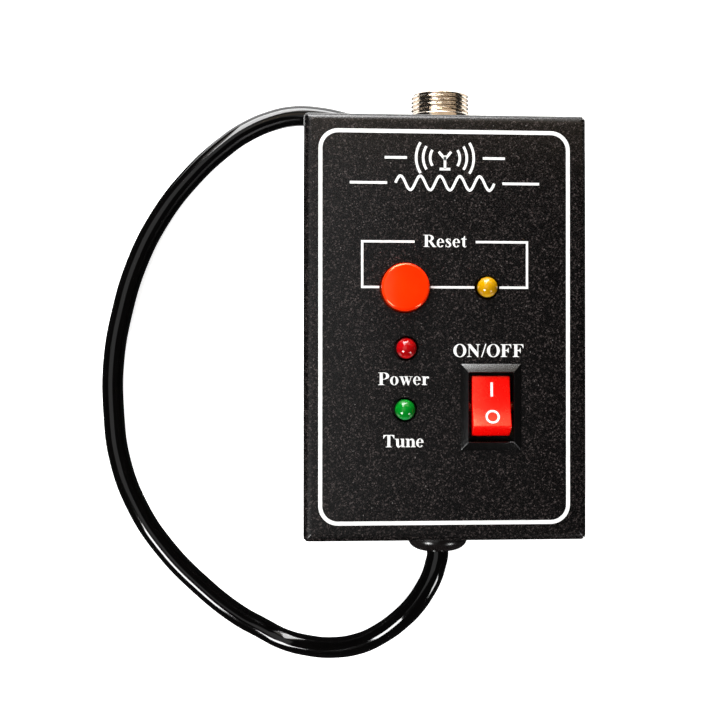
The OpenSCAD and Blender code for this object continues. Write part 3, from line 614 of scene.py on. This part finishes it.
def make_housing():
    """The folded sheet box: its panel, its four walls and the holes in them."""
    half_x, half_y = CASE_HIGH.x, CASE_HIGH.y - BOX_Y
    bend = FRONT - FOLD_R

    def ring(inset, z):
        return rounded_rect((0, BOX_Y), half_x - inset, half_y - inset, max(CORNER_R - inset, 0.25), z, 4)

    def fold(inset, degrees):
        """A ring round the fold, from 0 degrees at the walls to 90 on the panel, that far in from the outside."""
        a, r = math.radians(degrees), FOLD_R - inset
        return ring(inset + r * (1 - math.cos(a)), bend + r * math.sin(a))

    rings = [fold(SHEET, 90 - 15 * k) for k in range(7)]
    rings += [ring(SHEET, CASE_LOW.z), ring(0, CASE_LOW.z)]
    rings += [fold(0, 90 * k / 8) for k in range(9)]
    switch = middle("switch_body")
    wide, tall = SWITCH_HOLE_HALF
    cutters = [hole(middle("reset_cap"), BUTTON_HOLE_R)]
    cutters += [hole(middle(node), LAMP_HOLE_R) for node in LAMPS]
    cutters.append(block((switch.x - wide, switch.y - tall, FRONT - 2), (switch.x + wide, switch.y + tall, FRONT + 2)))
    for at, wall, r, low, high in ((SOCKET, SOCKET_WALL, SOCKET_HOLE_R, -3, 1),
                                   (GLAND, CORD_WALL, GLAND_HOLE_R, -1, 3)):
        cutters.append(lathe([(0, low), (r, low), (r, high), (0, high)], (at.x, wall, at.z), "Y", 64))
    cutters += [corner_groove(sx, sy) for sx in (-1, 1) for sy in (-1, 1)]
    return piece("case_shell", stack(rings), powder, nodes=("housing",), cuts=joined(*cutters),
                 sharp=28)


def make_feet():
    low, high = span("rubber_feet")
    centre = (low + high) / 2
    profile = filleted([(1.75, 7, 0), (6.0, 7, 0.25), (5.85, 4.4, 0.5), (5.55, 1.1, 0.6), (5.15, 0, 0.35),
                        (3.4, 0, 0.3), (3.3, 4, 0.2), (1.75, 4, 0)], 5)
    reach_x, reach_y = high.x - FOOT_REACH[0], (high.y - low.y) / 2 - FOOT_REACH[1]
    feet = [lathe(profile, (sx * reach_x, centre.y + sy * reach_y, 0), "Z", 72, closed=True)
            for sx in (-1, 1) for sy in (-1, 1)]
    piece("soft_feet", joined(*feet), foot_rubber, nodes=("rubber_feet",))


make_housing()
make_feet()


# ---------- printing on the panel ----------

INK_LOW, INK_HIGH = FRONT - 0.02, FRONT + 0.035
BORDER_X = -0.3
BORDER_HALF = (30.05, 47.27)
BORDER_W, RULE_W, SYMBOL_W = 0.95, 0.56, 0.62
RESET_BOX = {"x": (-20.3, 19.7), "y": (BOX_Y + 9.6, BOX_Y + 20.6)}
TITLE_GAP = (-7.66, 7.18)
BUTTON_GAP, LAMP_GAP = 6.2, 3.05


def inked(name, *shells):
    return piece(name, joined(*shells), ink)


def line(path, width, closed=False):
    return strip(path, width, INK_LOW, INK_HIGH, closed)


def make_frame_lines():
    """The border, and the box of rules round the button and its lamp, open at the top for its label."""
    ring = rounded_rect((BORDER_X, BOX_Y), *BORDER_HALF, 4.25, 0, 10)
    inked("border_line", line([p[:2] for p in ring], BORDER_W, closed=True))
    (x0, x1), (y0, y1) = RESET_BOX["x"], RESET_BOX["y"]
    button, lamp = middle("reset_cap").x, middle("reset_led").x
    inked("reset_lines",
          line([(button - BUTTON_GAP, y0), (x0, y0), (x0, y1), (TITLE_GAP[0], y1)], RULE_W),
          line([(TITLE_GAP[1], y1), (x1, y1), (x1, y0), (lamp + LAMP_GAP, y0)], RULE_W),
          line([(button + BUTTON_GAP, y0), (lamp - LAMP_GAP, y0)], RULE_W))


SLAB_T, SLAB_BLEND = 0.045, 0.06

# A letter is a list of flat shapes, with its capitals 1 high. A shape's kind says how the rest is read:
# "poly" corners; "bar" x and y of two opposite corners; "ring" centre, outer radii, inner radii, start, end;
# "stroke" points with a width each; "foot" and "head" a slab serif from x to x at a height, blending into a
# stem from x to x.
LETTERS = {
    "O": (1.08, [("ring", 0.52, 0.5, 0.5, 0.52, 0.27, 0.47, 0, 360)]),
    "N": (1.08, [("poly", (0.0, 1), (0.28, 1), (0.87, 0.3), (0.87, -0.02), (0.8, -0.02), (0.17, 0.76), (0.08, 0.95)),
                 ("poly", (0.13, 0), (0.19, 0), (0.19, 0.86), (0.13, 0.9)), ("foot", 0.0, 0.34, 0, 0.13, 0.19),
                 ("bar", 0.81, 0.2, 0.87, 1), ("head", 0.68, 1.01, 1, 0.81, 0.87)]),
    "F": (0.94, [("bar", 0.13, 0, 0.36, 1), ("foot", 0.01, 0.5, 0, 0.13, 0.36), ("poly", (0.01, 0.95), (0.6, 0.95),
                 (0.74, 0.88), (0.8, 0.7), (0.84, 0.7), (0.82, 1), (0.01, 1)), ("poly", (0.3, 0.485), (0.46, 0.475),
                 (0.55, 0.42), (0.58, 0.32), (0.62, 0.32), (0.62, 0.72), (0.58, 0.72), (0.55, 0.61), (0.46, 0.55),
                 (0.3, 0.54))]),
    "/": (0.44, [("poly", (0.0, -0.03), (0.09, -0.03), (0.42, 1.03), (0.33, 1.03))]),
    "R": (1.06, [("bar", 0.12, 0, 0.35, 1), ("foot", 0.0, 0.48, 0, 0.12, 0.35), ("bar", 0, 0.955, 0.46, 1),
                 ("bar", 0.3, 0.48, 0.46, 0.525), ("ring", 0.45, 0.74, 0.38, 0.26, 0.15, 0.215, -90, 90),
                 ("poly", (0.38, 0.52), (0.62, 0.52), (0.97, 0.05), (1.04, 0.04), (1.04, 0), (0.76, 0))]),
    "P": (0.92, [("bar", 0.12, 0, 0.35, 1), ("foot", 0.0, 0.48, 0, 0.12, 0.35), ("bar", 0, 0.955, 0.46, 1),
                 ("bar", 0.3, 0.44, 0.46, 0.485), ("ring", 0.45, 0.72, 0.41, 0.28, 0.17, 0.235, -90, 90)]),
    "T": (0.95, [("bar", 0.34, 0, 0.57, 1), ("foot", 0.2, 0.71, 0, 0.34, 0.57), ("poly", (0.02, 1), (0.01, 0.7),
                 (0.05, 0.7), (0.13, 0.87), (0.26, 0.95), (0.65, 0.95), (0.78, 0.87), (0.86, 0.7), (0.9, 0.7),
                 (0.89, 1))]),
    "e": (0.68, [("ring", 0.31, 0.345, 0.3, 0.36, 0.12, 0.315, 8, 322), ("bar", 0.14, 0.355, 0.6, 0.4)]),
    "s": (0.6, [("stroke", (0.43, 0.55, 0.03), (0.38, 0.64, 0.05), (0.27, 0.675, 0.06), (0.15, 0.63, 0.11),
                (0.13, 0.53, 0.15), (0.23, 0.42, 0.18), (0.36, 0.31, 0.18), (0.42, 0.19, 0.15), (0.37, 0.06, 0.1),
                (0.25, 0.015, 0.06), (0.12, 0.06, 0.05), (0.07, 0.18, 0.03)), ("poly", (0.4, 0.5), (0.44, 0.5),
                (0.44, 0.7), (0.4, 0.68)), ("poly", (0.05, -0.01), (0.09, 0.02), (0.09, 0.22), (0.05, 0.22))]),
    "t": (0.5, [("poly", (0.13, 0.12), (0.33, 0.12), (0.33, 0.93), (0.29, 0.93), (0.2, 0.77), (0.02, 0.68),
                (0.02, 0.64), (0.13, 0.64)), ("bar", 0.3, 0.63, 0.46, 0.69), ("stroke", (0.23, 0.16, 0.2),
                (0.26, 0.07, 0.14), (0.34, 0.03, 0.08), (0.45, 0.1, 0.03))]),
    "o": (0.74, [("ring", 0.34, 0.345, 0.33, 0.36, 0.13, 0.32, 0, 360)]),
    "w": (1.08, [("poly", (0.06, 0.67), (0.27, 0.67), (0.43, 0.2), (0.37, -0.02), (0.31, -0.02)),
                 ("poly", (0.33, -0.02), (0.38, -0.02), (0.56, 0.5), (0.52, 0.55)), ("poly", (0.42, 0.67),
                 (0.63, 0.67), (0.79, 0.2), (0.73, -0.02), (0.67, -0.02)), ("poly", (0.69, -0.02), (0.74, -0.02),
                 (0.96, 0.67), (0.9, 0.67)), ("bar", 0, 0.65, 0.34, 0.69), ("bar", 0.38, 0.65, 0.71, 0.69),
                 ("bar", 0.79, 0.65, 1.05, 0.69)]),
    "r": (0.6, [("bar", 0.1, 0, 0.31, 0.69), ("foot", 0.01, 0.41, 0, 0.1, 0.31), ("head", 0.01, 0.2, 0.69, 0.1, 0.2),
                ("stroke", (0.29, 0.42, 0.04), (0.33, 0.55, 0.07), (0.4, 0.62, 0.13), (0.48, 0.6, 0.19),
                (0.55, 0.54, 0.1))]),
    "u": (0.84, [("bar", 0.09, 0.14, 0.3, 0.69), ("head", 0.0, 0.2, 0.69, 0.09, 0.2), ("bar", 0.51, 0, 0.72, 0.69),
                 ("head", 0.42, 0.6, 0.69, 0.51, 0.6), ("foot", 0.6, 0.81, 0, 0.6, 0.72),
                 ("stroke", (0.195, 0.2, 0.21), (0.23, 0.08, 0.17), (0.33, 0.04, 0.12), (0.52, 0.15, 0.04))]),
    "n": (0.84, [("bar", 0.09, 0, 0.3, 0.69), ("foot", 0.0, 0.38, 0, 0.09, 0.3), ("head", 0.0, 0.2, 0.69, 0.09, 0.2),
                 ("bar", 0.51, 0, 0.72, 0.5), ("foot", 0.43, 0.81, 0, 0.51, 0.72), ("stroke", (0.29, 0.54, 0.04),
                 (0.4, 0.63, 0.1), (0.53, 0.63, 0.15), (0.615, 0.5, 0.21))]),
}


def letter_outline(shape):
    """The corners of one flat shape of a letter."""
    kind, *given = shape
    if kind == "poly":
        return given
    if kind == "bar":
        x0, y0, x1, y1 = given
        return [(x0, y0), (x1, y0), (x1, y1), (x0, y1)]
    if kind in ("foot", "head"):
        x0, x1, y, stem0, stem1 = given
        s = 1 if kind == "foot" else -1
        thick, blend = SLAB_T * s, SLAB_BLEND
        return [(x0, y), (x1, y), (x1, y + thick), (min(stem1 + blend, x1), y + thick), (stem1, y + thick + blend * s),
                (stem0, y + thick + blend * s), (max(stem0 - blend, x0), y + thick), (x0, y + thick)]
    fine = []
    for i in range(len(given) - 1):
        a, b, c, d = (Vector(given[min(max(i + k, 0), len(given) - 1)]) for k in (-1, 0, 1, 2))
        for t in (0, 0.33, 0.67):
            fine.append((2 * b + (c - a) * t + (2 * a - 5 * b + 4 * c - d) * t ** 2
                         + (3 * b - a - 3 * c + d) * t ** 3) / 2)
    fine.append(Vector(given[-1]))
    left, right = [], []
    for i, p in enumerate(fine):
        way = (fine[min(i + 1, len(fine) - 1)] - fine[max(i - 1, 0)]).to_2d().normalized()
        side = Vector((-way.y, way.x)) * p.z / 2
        left.append(tuple(p.to_2d() + side))
        right.append(tuple(p.to_2d() - side))
    return left + right[::-1]


def letter_shell(shape):
    """One flat shape of a letter as a thin solid, still in letter units."""
    if shape[0] == "ring":
        cx, cy, rx, ry, ix, iy, start, end = shape[1:]
        whole = end - start == 360
        turns = [math.radians(start + (end - start) * k / 40) for k in range(40 if whole else 41)]
        rings = []
        for a in turns:
            c, s = math.cos(a), math.sin(a)
            inner, outer = (cx + ix * c, cy + iy * s), (cx + rx * c, cy + ry * s)
            rings.append([(*inner, 0), (*outer, 0), (*outer, 1), (*inner, 1)])
        return stack(rings, closed=whole)
    corners = letter_outline(shape)
    return stack([[(x, y, z) for x, y in corners] for z in (0, 1)])


def label(name, words, x0, x1, y0, y1):
    """A word in bold serif letters, fitted to the box given in millimetres.

    Cutting a far block out of the letters merges their overlapping shapes into one skin.
    """
    shells, pen = [], 0
    for character in words:
        advance, shapes = LETTERS[character]
        shells += [moved(letter_shell(shape), Matrix.Translation((pen, 0, 0))) for shape in shapes]
        pen += advance
    points, faces = joined(*shells)
    left, right = min(p[0] for p in points), max(p[0] for p in points)
    fitted = [(x0 + (p[0] - left) / (right - left) * (x1 - x0), y0 + p[1] * (y1 - y0), INK_HIGH if p[2] else INK_LOW)
              for p in points]
    obj = mesh_object(name, (fitted, faces))
    far = mesh_object(name + "_far", block((0, 0, 500), (1, 1, 501)))
    merge = obj.modifiers.new("merge", "BOOLEAN")
    merge.operation, merge.solver, merge.use_self, merge.object = "DIFFERENCE", "EXACT", True, far
    settle(obj)
    bpy.data.objects.remove(far)
    obj.data.name = name
    return place(obj, ink, "case", ())


def make_symbols():
    """A mast with waves, and a wave between two rules, where such boxes carry a title."""
    y = BOX_Y + 40.3
    mast = [line([(BORDER_X, y - 2.1), (BORDER_X, y + 1.2)], SYMBOL_W),
            line([(BORDER_X - 1.5, y + 2.1), (BORDER_X, y + 0.3), (BORDER_X + 1.5, y + 2.1)], SYMBOL_W),
            line([(BORDER_X - 1.3, y - 2.1), (BORDER_X + 1.3, y - 2.1)], SYMBOL_W)]
    waves = []
    for reach in (3.6, 5.3, 7.0):
        for start in (-32, 148):
            waves.append(line(arc((BORDER_X, y + 0.6), reach, start, start + 64, 12), SYMBOL_W))
    rules = [line([(BORDER_X + s * 9.2, y + 0.6), (BORDER_X + s * 14.6, y + 0.6)], SYMBOL_W) for s in (-1, 1)]
    inked("mast_symbol", *mast, *waves, *rules)
    y = BOX_Y + 34.8
    wave = [(BORDER_X - 12 + 24 * k / 120, y + 1.7 * math.sin(math.tau * 5 * k / 120)) for k in range(121)]
    rules = [line([(BORDER_X + s * 14, y), (BORDER_X + s * 23, y)], SYMBOL_W) for s in (-1, 1)]
    inked("wave_symbol", line(wave, SYMBOL_W), *rules)


make_frame_lines()
make_symbols()
label("label_reset", "Reset", -5.52, 4.95, BOX_Y + 19.33, BOX_Y + 22.27)
label("label_power", "Power", -16.45, -4.15, BOX_Y - 14.0, BOX_Y - 10.99)
label("label_tune", "Tune", -15.22, -5.47, BOX_Y - 28.98, BOX_Y - 26.03)
label("label_on_off", "ON/OFF", 1.73, 18.83, BOX_Y - 7.22, BOX_Y - 4.14)


# ---------- reset button and lamps ----------

BORE_R, BORE_DEPTH = 2.85, 4.1


def make_button():
    low, high = span("reset_cap")
    centre = (low + high) / 2
    flange_r = (high.x - low.x) / 2
    r = flange_r - 1
    profile = filleted([
        (0, low.z + BORE_DEPTH, 0), (BORE_R, low.z + BORE_DEPTH, 0), (BORE_R, low.z, 0), (flange_r, low.z, 0.1),
        (flange_r, low.z + 0.9, 0.2), (r, low.z + 0.9, 0), (r, high.z, 0.8),
        (0, high.z - 0.03, 0)], 8)
    piece("button_cap", lathe(profile, (centre.x, centre.y, 0), "Z", 128), orange, "reset_button",
          ("reset_cap",))


def make_lamp(node, material):
    low, high = span(node)
    centre = (low + high) / 2
    flange_r = (high.x - low.x) / 2
    r = flange_r - 0.4
    dome = [(r * math.cos(math.radians(a)), high.z - r + r * math.sin(math.radians(a))) for a in range(0, 90, 6)]
    profile = filleted([(0, low.z, 0), (flange_r, low.z, 0.15), (flange_r, low.z + 1, 0.25), (r, low.z + 1, 0)], 4)
    piece(node.replace("_led", "_lens"), lathe(profile + dome + [(0, high.z)], (centre.x, centre.y, 0), "Z", 72),
          material, nodes=(node,))


make_button()
for lamp_node, (lens_material, lens_slot) in LAMPS.items():
    make_lamp(lamp_node, lens_material)


# ---------- rocker switch ----------

ROCKER_HALF_W = 4.65
DISH_R = 24.6
ROCKER_END = (6.37, 5.6)
DISH_Z = ROCKER_END[1] + math.sqrt(DISH_R ** 2 - ROCKER_END[0] ** 2)
REST_TILT = -15
MARKS_X = 0.14
MARK_SINK, MARK_RISE = -0.05, 0.03
BAR_Y, BAR_LENGTH, BAR_HALF_W = 1.4, 3.4, 0.3
RING_Y, RING_INNER, RING_OUTER = -3.7, 1.2, 1.72


def dish(y):
    """Height of the rocker's hollow top over its pivot, at y along it."""
    return DISH_Z - math.sqrt(DISH_R ** 2 - y * y)


def tipped(shell):
    """A shell drawn level round the rocker's pin, put at its pivot and tilted as it rests."""
    return moved(shell, Matrix.Translation(PIVOT) @ Matrix.Rotation(math.radians(REST_TILT), 4, "X"))


def make_rocker():
    """The red paddle with its hollow top, its pin, and the sleeve that holds the plunger."""
    end_y, end_z = ROCKER_END
    hollow = [(y, dish(y), 0) for y in [end_y * (1 - 2 * k / 20) for k in range(1, 20)]]
    side = filleted([(end_y, end_z, 0.35)] + hollow + [
        (-end_y, end_z, 0.35), (-7.52, 1.2, 0.4), (-7.12, -0.6, 0.3), (-2.6, -2.2, 0.4), (2.6, -2.2, 0.4),
        (7.12, -0.6, 0.3), (7.52, 1.2, 0.4)], 4, closed=True)
    body = stack([[(x, y, z) for y, z in side] for x in (-ROCKER_HALF_W, ROCKER_HALF_W)])
    piece("rocker_paddle", tipped(body), rocker_red, "rocker_switch", ("rocker",), bevel=0.28)
    pin = lathe([(0, -6.05), (1.1, -6.05), (1.2, -5.95), (1.2, 5.95), (1.1, 6.05), (0, 6.05)], (0, 0, 0), "Z", 40)
    sleeve = lathe([(1.6, -6.4), (2.3, -6.4), (2.3, -1.9), (1.6, -1.9)], (0, 0, 0), "Z", 40, closed=True)
    piece("rocker_pins", tipped(moved(pin, Z_TO_X)), rocker_red, "rocker_switch")
    piece("rocker_sleeve", tipped(sleeve), rocker_red, "rocker_switch")


def make_rocker_marks():
    """A bar and a ring that lie on the rocker's hollow top."""
    bar = stack([[(MARKS_X + x, y, dish(y) + h) for x, h in ((-BAR_HALF_W, MARK_SINK), (BAR_HALF_W, MARK_SINK),
                                                             (BAR_HALF_W, MARK_RISE), (-BAR_HALF_W, MARK_RISE))]
                 for y in [BAR_Y + BAR_LENGTH * k / 10 for k in range(11)]])
    rings = []
    for k in range(72):
        a = math.tau * k / 72
        ring = []
        for r, h in ((RING_INNER, MARK_SINK), (RING_OUTER, MARK_SINK), (RING_OUTER, MARK_RISE),
                     (RING_INNER, MARK_RISE)):
            y = RING_Y + r * math.sin(a)
            ring.append((MARKS_X + r * math.cos(a), y, dish(y) + h))
        rings.append(ring)
    piece("rocker_symbols", tipped(joined(bar, stack(rings, closed=True))), ink, "rocker_switch",
          ("rocker_marks",))


def make_bezel():
    """The switch's sloping frame, with the two wings that hold it in the panel."""
    low, high = span("switch_body")
    at = (low + high) / 2
    steps = [  # half width, half length, corner radius, height
        (6.45, 9.45, 0.4, low.z), (6.45, 9.45, 0.4, FRONT), (7.4, 10.45, 0.25, FRONT), (7.4, 10.45, 0.25, FRONT + 0.2),
        (7.33, 10.38, 0.2, FRONT + 0.27), (5.68, 8.63, 0.12, high.z - 0.05), (5.6, 8.55, 0.12, high.z),
        (5.52, 8.47, 0.12, high.z), (5.45, 8.4, 0.12, high.z - 0.08), (5.45, 8.4, 0.12, low.z + 1.2)]
    frame_shell = stack([rounded_rect(at, a, b, r, z, 4) for a, b, r, z in steps])
    wings = [block((at.x - 3, at.y + s * 9.8 - 0.44, FRONT - 7), (at.x + 3, at.y + s * 9.8 + 0.44, FRONT - 1.1))
             for s in (-1, 1)]
    piece("switch_bezel", joined(frame_shell, *wings), switch_black, nodes=("switch_body",), sharp=20)


make_rocker()
make_rocker_marks()
make_bezel()


# ---------- socket ----------

THREAD_R, ROOT_R, PITCH, THREAD_TURNS = 7.35, 6.8, 1.0, 5
COLLAR_R, COLLAR_T = 8.0, 2.5
BORE_WALL_R = 6.1
RUN_OUT = 0.3
SOCKET_STEPS, THREAD_RINGS = 96, 90


def thread_radius(y, angle, start, end):
    """Radius of a rounded single-start thread at y along the socket and angle round it."""
    phase = ((y - start) / PITCH - angle / math.tau) % 1
    shape = min(max((abs(phase - 0.5) * 2 - 0.16) / 0.6, 0), 1)
    fade = min(max((y - start) / RUN_OUT, 0), 1) * min(max((end - y) / RUN_OUT, 0), 1)
    return ROOT_R + (THREAD_R - ROOT_R) * (1 - smoothstep(shape)) * fade


def make_socket():
    """The socket's collar and threaded barrel, hollow down to its insert."""
    rim = span("socket_shell")[1].y
    wall = SOCKET_WALL
    start = rim - THREAD_TURNS * PITCH

    def ring(radius, y):
        angles = [math.tau * k / SOCKET_STEPS for k in range(SOCKET_STEPS)]
        r = radius if callable(radius) else lambda a: radius
        return [(SOCKET.x + r(a) * math.cos(a), y, SOCKET.z + r(a) * math.sin(a)) for a in angles]

    rings = [ring(4.9, wall - 9), ring(5.9, wall - 9), ring(5.9, wall)]
    collar = filleted([(COLLAR_R, wall, 0), (COLLAR_R, wall + COLLAR_T, 0.35), (ROOT_R, wall + COLLAR_T, 0)], 5)
    rings += [ring(r, y) for r, y in collar]
    end = rim - 0.15
    for k in range(1, THREAD_RINGS):
        y = start + (end - start) * k / THREAD_RINGS
        rings.append(ring(lambda a, y=y: thread_radius(y, a, start, end), y))
    rings += [ring(r, y) for r, y in ((ROOT_R, end), (6.65, rim), (6.22, rim), (BORE_WALL_R, rim - 0.12),
                                      (BORE_WALL_R, wall + 0.4), (4.9, wall + 0.4))]
    piece("socket_body", stack(rings, closed=True), nickel, nodes=("socket_shell",), sharp=40)


def make_gland():
    """The domed bushing that holds the cord, with its groove round the edge of the sheet."""
    reach = CORD_WALL - MOUTH
    flat_r, round_h, out_r = 3.1, 2.95, 7.45
    dome = []
    for k in range(15):
        a = math.radians(90 * k / 14)
        dome.append((flat_r + (out_r - flat_r) * math.sin(a), round_h * (1 - math.cos(a)) + 0.12))
    profile = [(CORD_R + 0.02, 0.1), (CORD_R + 0.12, 0.0), (3.02, 0.0)] + dome + [
        (out_r, reach), (5.4, reach), (5.4, reach + 1), (6.6, reach + 1), (6.1, reach + 3), (CORD_R + 0.03, reach + 3)]
    piece("cord_bushing", lathe(profile, (GLAND.x, MOUTH, GLAND.z), "Y", 96, closed=True), gland_rubber,
          nodes=("cord_gland",), sharp=40)


make_socket()
make_gland()


# ---------- CAD pieces that keep their shape ----------

KEPT = {  # node: (material, slot)
    "rear_cover": (cover_coat, "powder_coat"), "corner_posts": (zinc, "zinc_steel"),
    "cover_screws": (zinc, "zinc_steel"), "circuit_board": (board_green, "board_green"),
    "board_posts": (zinc, "zinc_steel"), "board_screws": (zinc, "zinc_steel"),
    "reset_stem": (black_plastic, "black_plastic"), "tact_base": (black_plastic, "black_plastic"),
    "tact_cover": (tinned, "tinned_steel"), "tact_dome": (tinned, "tinned_steel"),
    "led_leads": (tinned, "tinned_steel"), "led_spacers": (black_plastic, "black_plastic"),
    "resistors": (resistor_tan, "resistor_tan"), "control_chip": (chip_black, "chip_black"),
    "capacitors": (sleeve_blue, "capacitor_sleeve"), "regulator": (chip_black, "chip_black"),
    "signal_header": (white_plastic, "white_plastic"), "power_terminal_block": (block_blue, "blue_plastic"),
    "switch_plunger": (white_plastic, "white_plastic"), "switch_spring": (tinned, "tinned_steel"),
    "contact_bridge": (brass, "brass"), "switch_terminals": (brass, "brass"),
    "socket_insert": (black_plastic, "black_plastic"), "socket_contacts": (gold, "gold_brass"),
    "socket_washer": (zinc, "zinc_steel"), "socket_nut": (nickel, "nickel"),
    "inner_cord": (sheath, "cord_sheath"), "inner_cable_tie": (white_plastic, "white_plastic"),
    "supply_wires": (core_red, "wire_red"), "switched_wire": (core_red, "wire_red"),
    "signal_wires": (blue_wire, "wire_blue"),
}
for node, (material, slot_name) in KEPT.items():
    obj = frame["nodes"][node]
    obj.data.materials.clear()
    obj.data.materials.append(material)


# ---------- studio ----------

FLOOR_HALF = 30000
KEY_CORNERS = [(-325, 563, 60), (212, 614, 60), (-268, 309, 546)]
WORLD_STRENGTH = 0.03


def plate(name, x, y, z, material):
    """A flat sheet at height z, from x[0] to x[1] and from y[0] to y[1]."""
    flat = mesh_object(name, ([(x[0], y[0], z), (x[1], y[0], z), (x[1], y[1], z), (x[0], y[1], z)], [(0, 1, 2, 3)]))
    flat.data.materials.append(material)
    return flat


def make_floor():
    """The floor, which glossy pieces don't mirror."""
    floor = plate("floor", (-FLOOR_HALF, FLOOR_HALF), (-FLOOR_HALF, FLOOR_HALF), 0, floor_white)
    floor.visible_glossy = False


def make_cards():
    """A white card under the socket and a tan one over it, which only glossy pieces see."""
    for name, x, y, z, material in (("bounce_card", (-90, 90), (1, 160), 0.3, card_white),
                                    ("tan_card", (-54, 190), (12, 45), 104, card_tan)):
        card = plate(name, x, [SOCKET_WALL + d for d in y], z, material)
        card.visible_camera = card.visible_diffuse = card.visible_shadow = False


def make_key(corners):
    """The main light, a three-cornered panel that reaches down to the floor behind the socket."""
    panel = mesh_object("key_panel", (corners, [(0, 1, 2)]))
    panel.data.materials.append(key_glow)
    panel.visible_camera = False


def make_light(name, at, size, power, aim=(0, 0, 30), colour=(1, 1, 1)):
    data = bpy.data.lights.new(name, "AREA")
    data.shape, data.size, data.size_y = "RECTANGLE", size[0] * MM, size[1] * MM
    data.energy, data.color = power, colour
    lamp = bpy.data.objects.new(name, data)
    scene.collection.objects.link(lamp)
    lamp.location = Vector(at) * MM
    lamp.rotation_euler = (Vector(aim) - Vector(at)).to_track_quat("-Z", "Y").to_euler()


def make_world():
    world = bpy.data.worlds.new("studio")
    world.use_nodes = True
    background = world.node_tree.nodes["Background"].inputs
    background["Color"].default_value, background["Strength"].default_value = (1, 1, 1, 1), WORLD_STRENGTH
    scene.world = world


make_floor()
make_cards()
make_key(KEY_CORNERS)
make_light("fill_left", (-352, -353, 377), (190, 190), 3.0)
make_light("fill_right", (360, -417, 281), (150, 150), 1.1)
make_light("back_reflector", (0, 570, 390), (900, 420), 1.7, colour=(1, 0.94, 0.85))
make_light("side_reflector", (-420, 100, 900), (800, 800), 1.3, aim=(-420, 100, 0))
make_world()
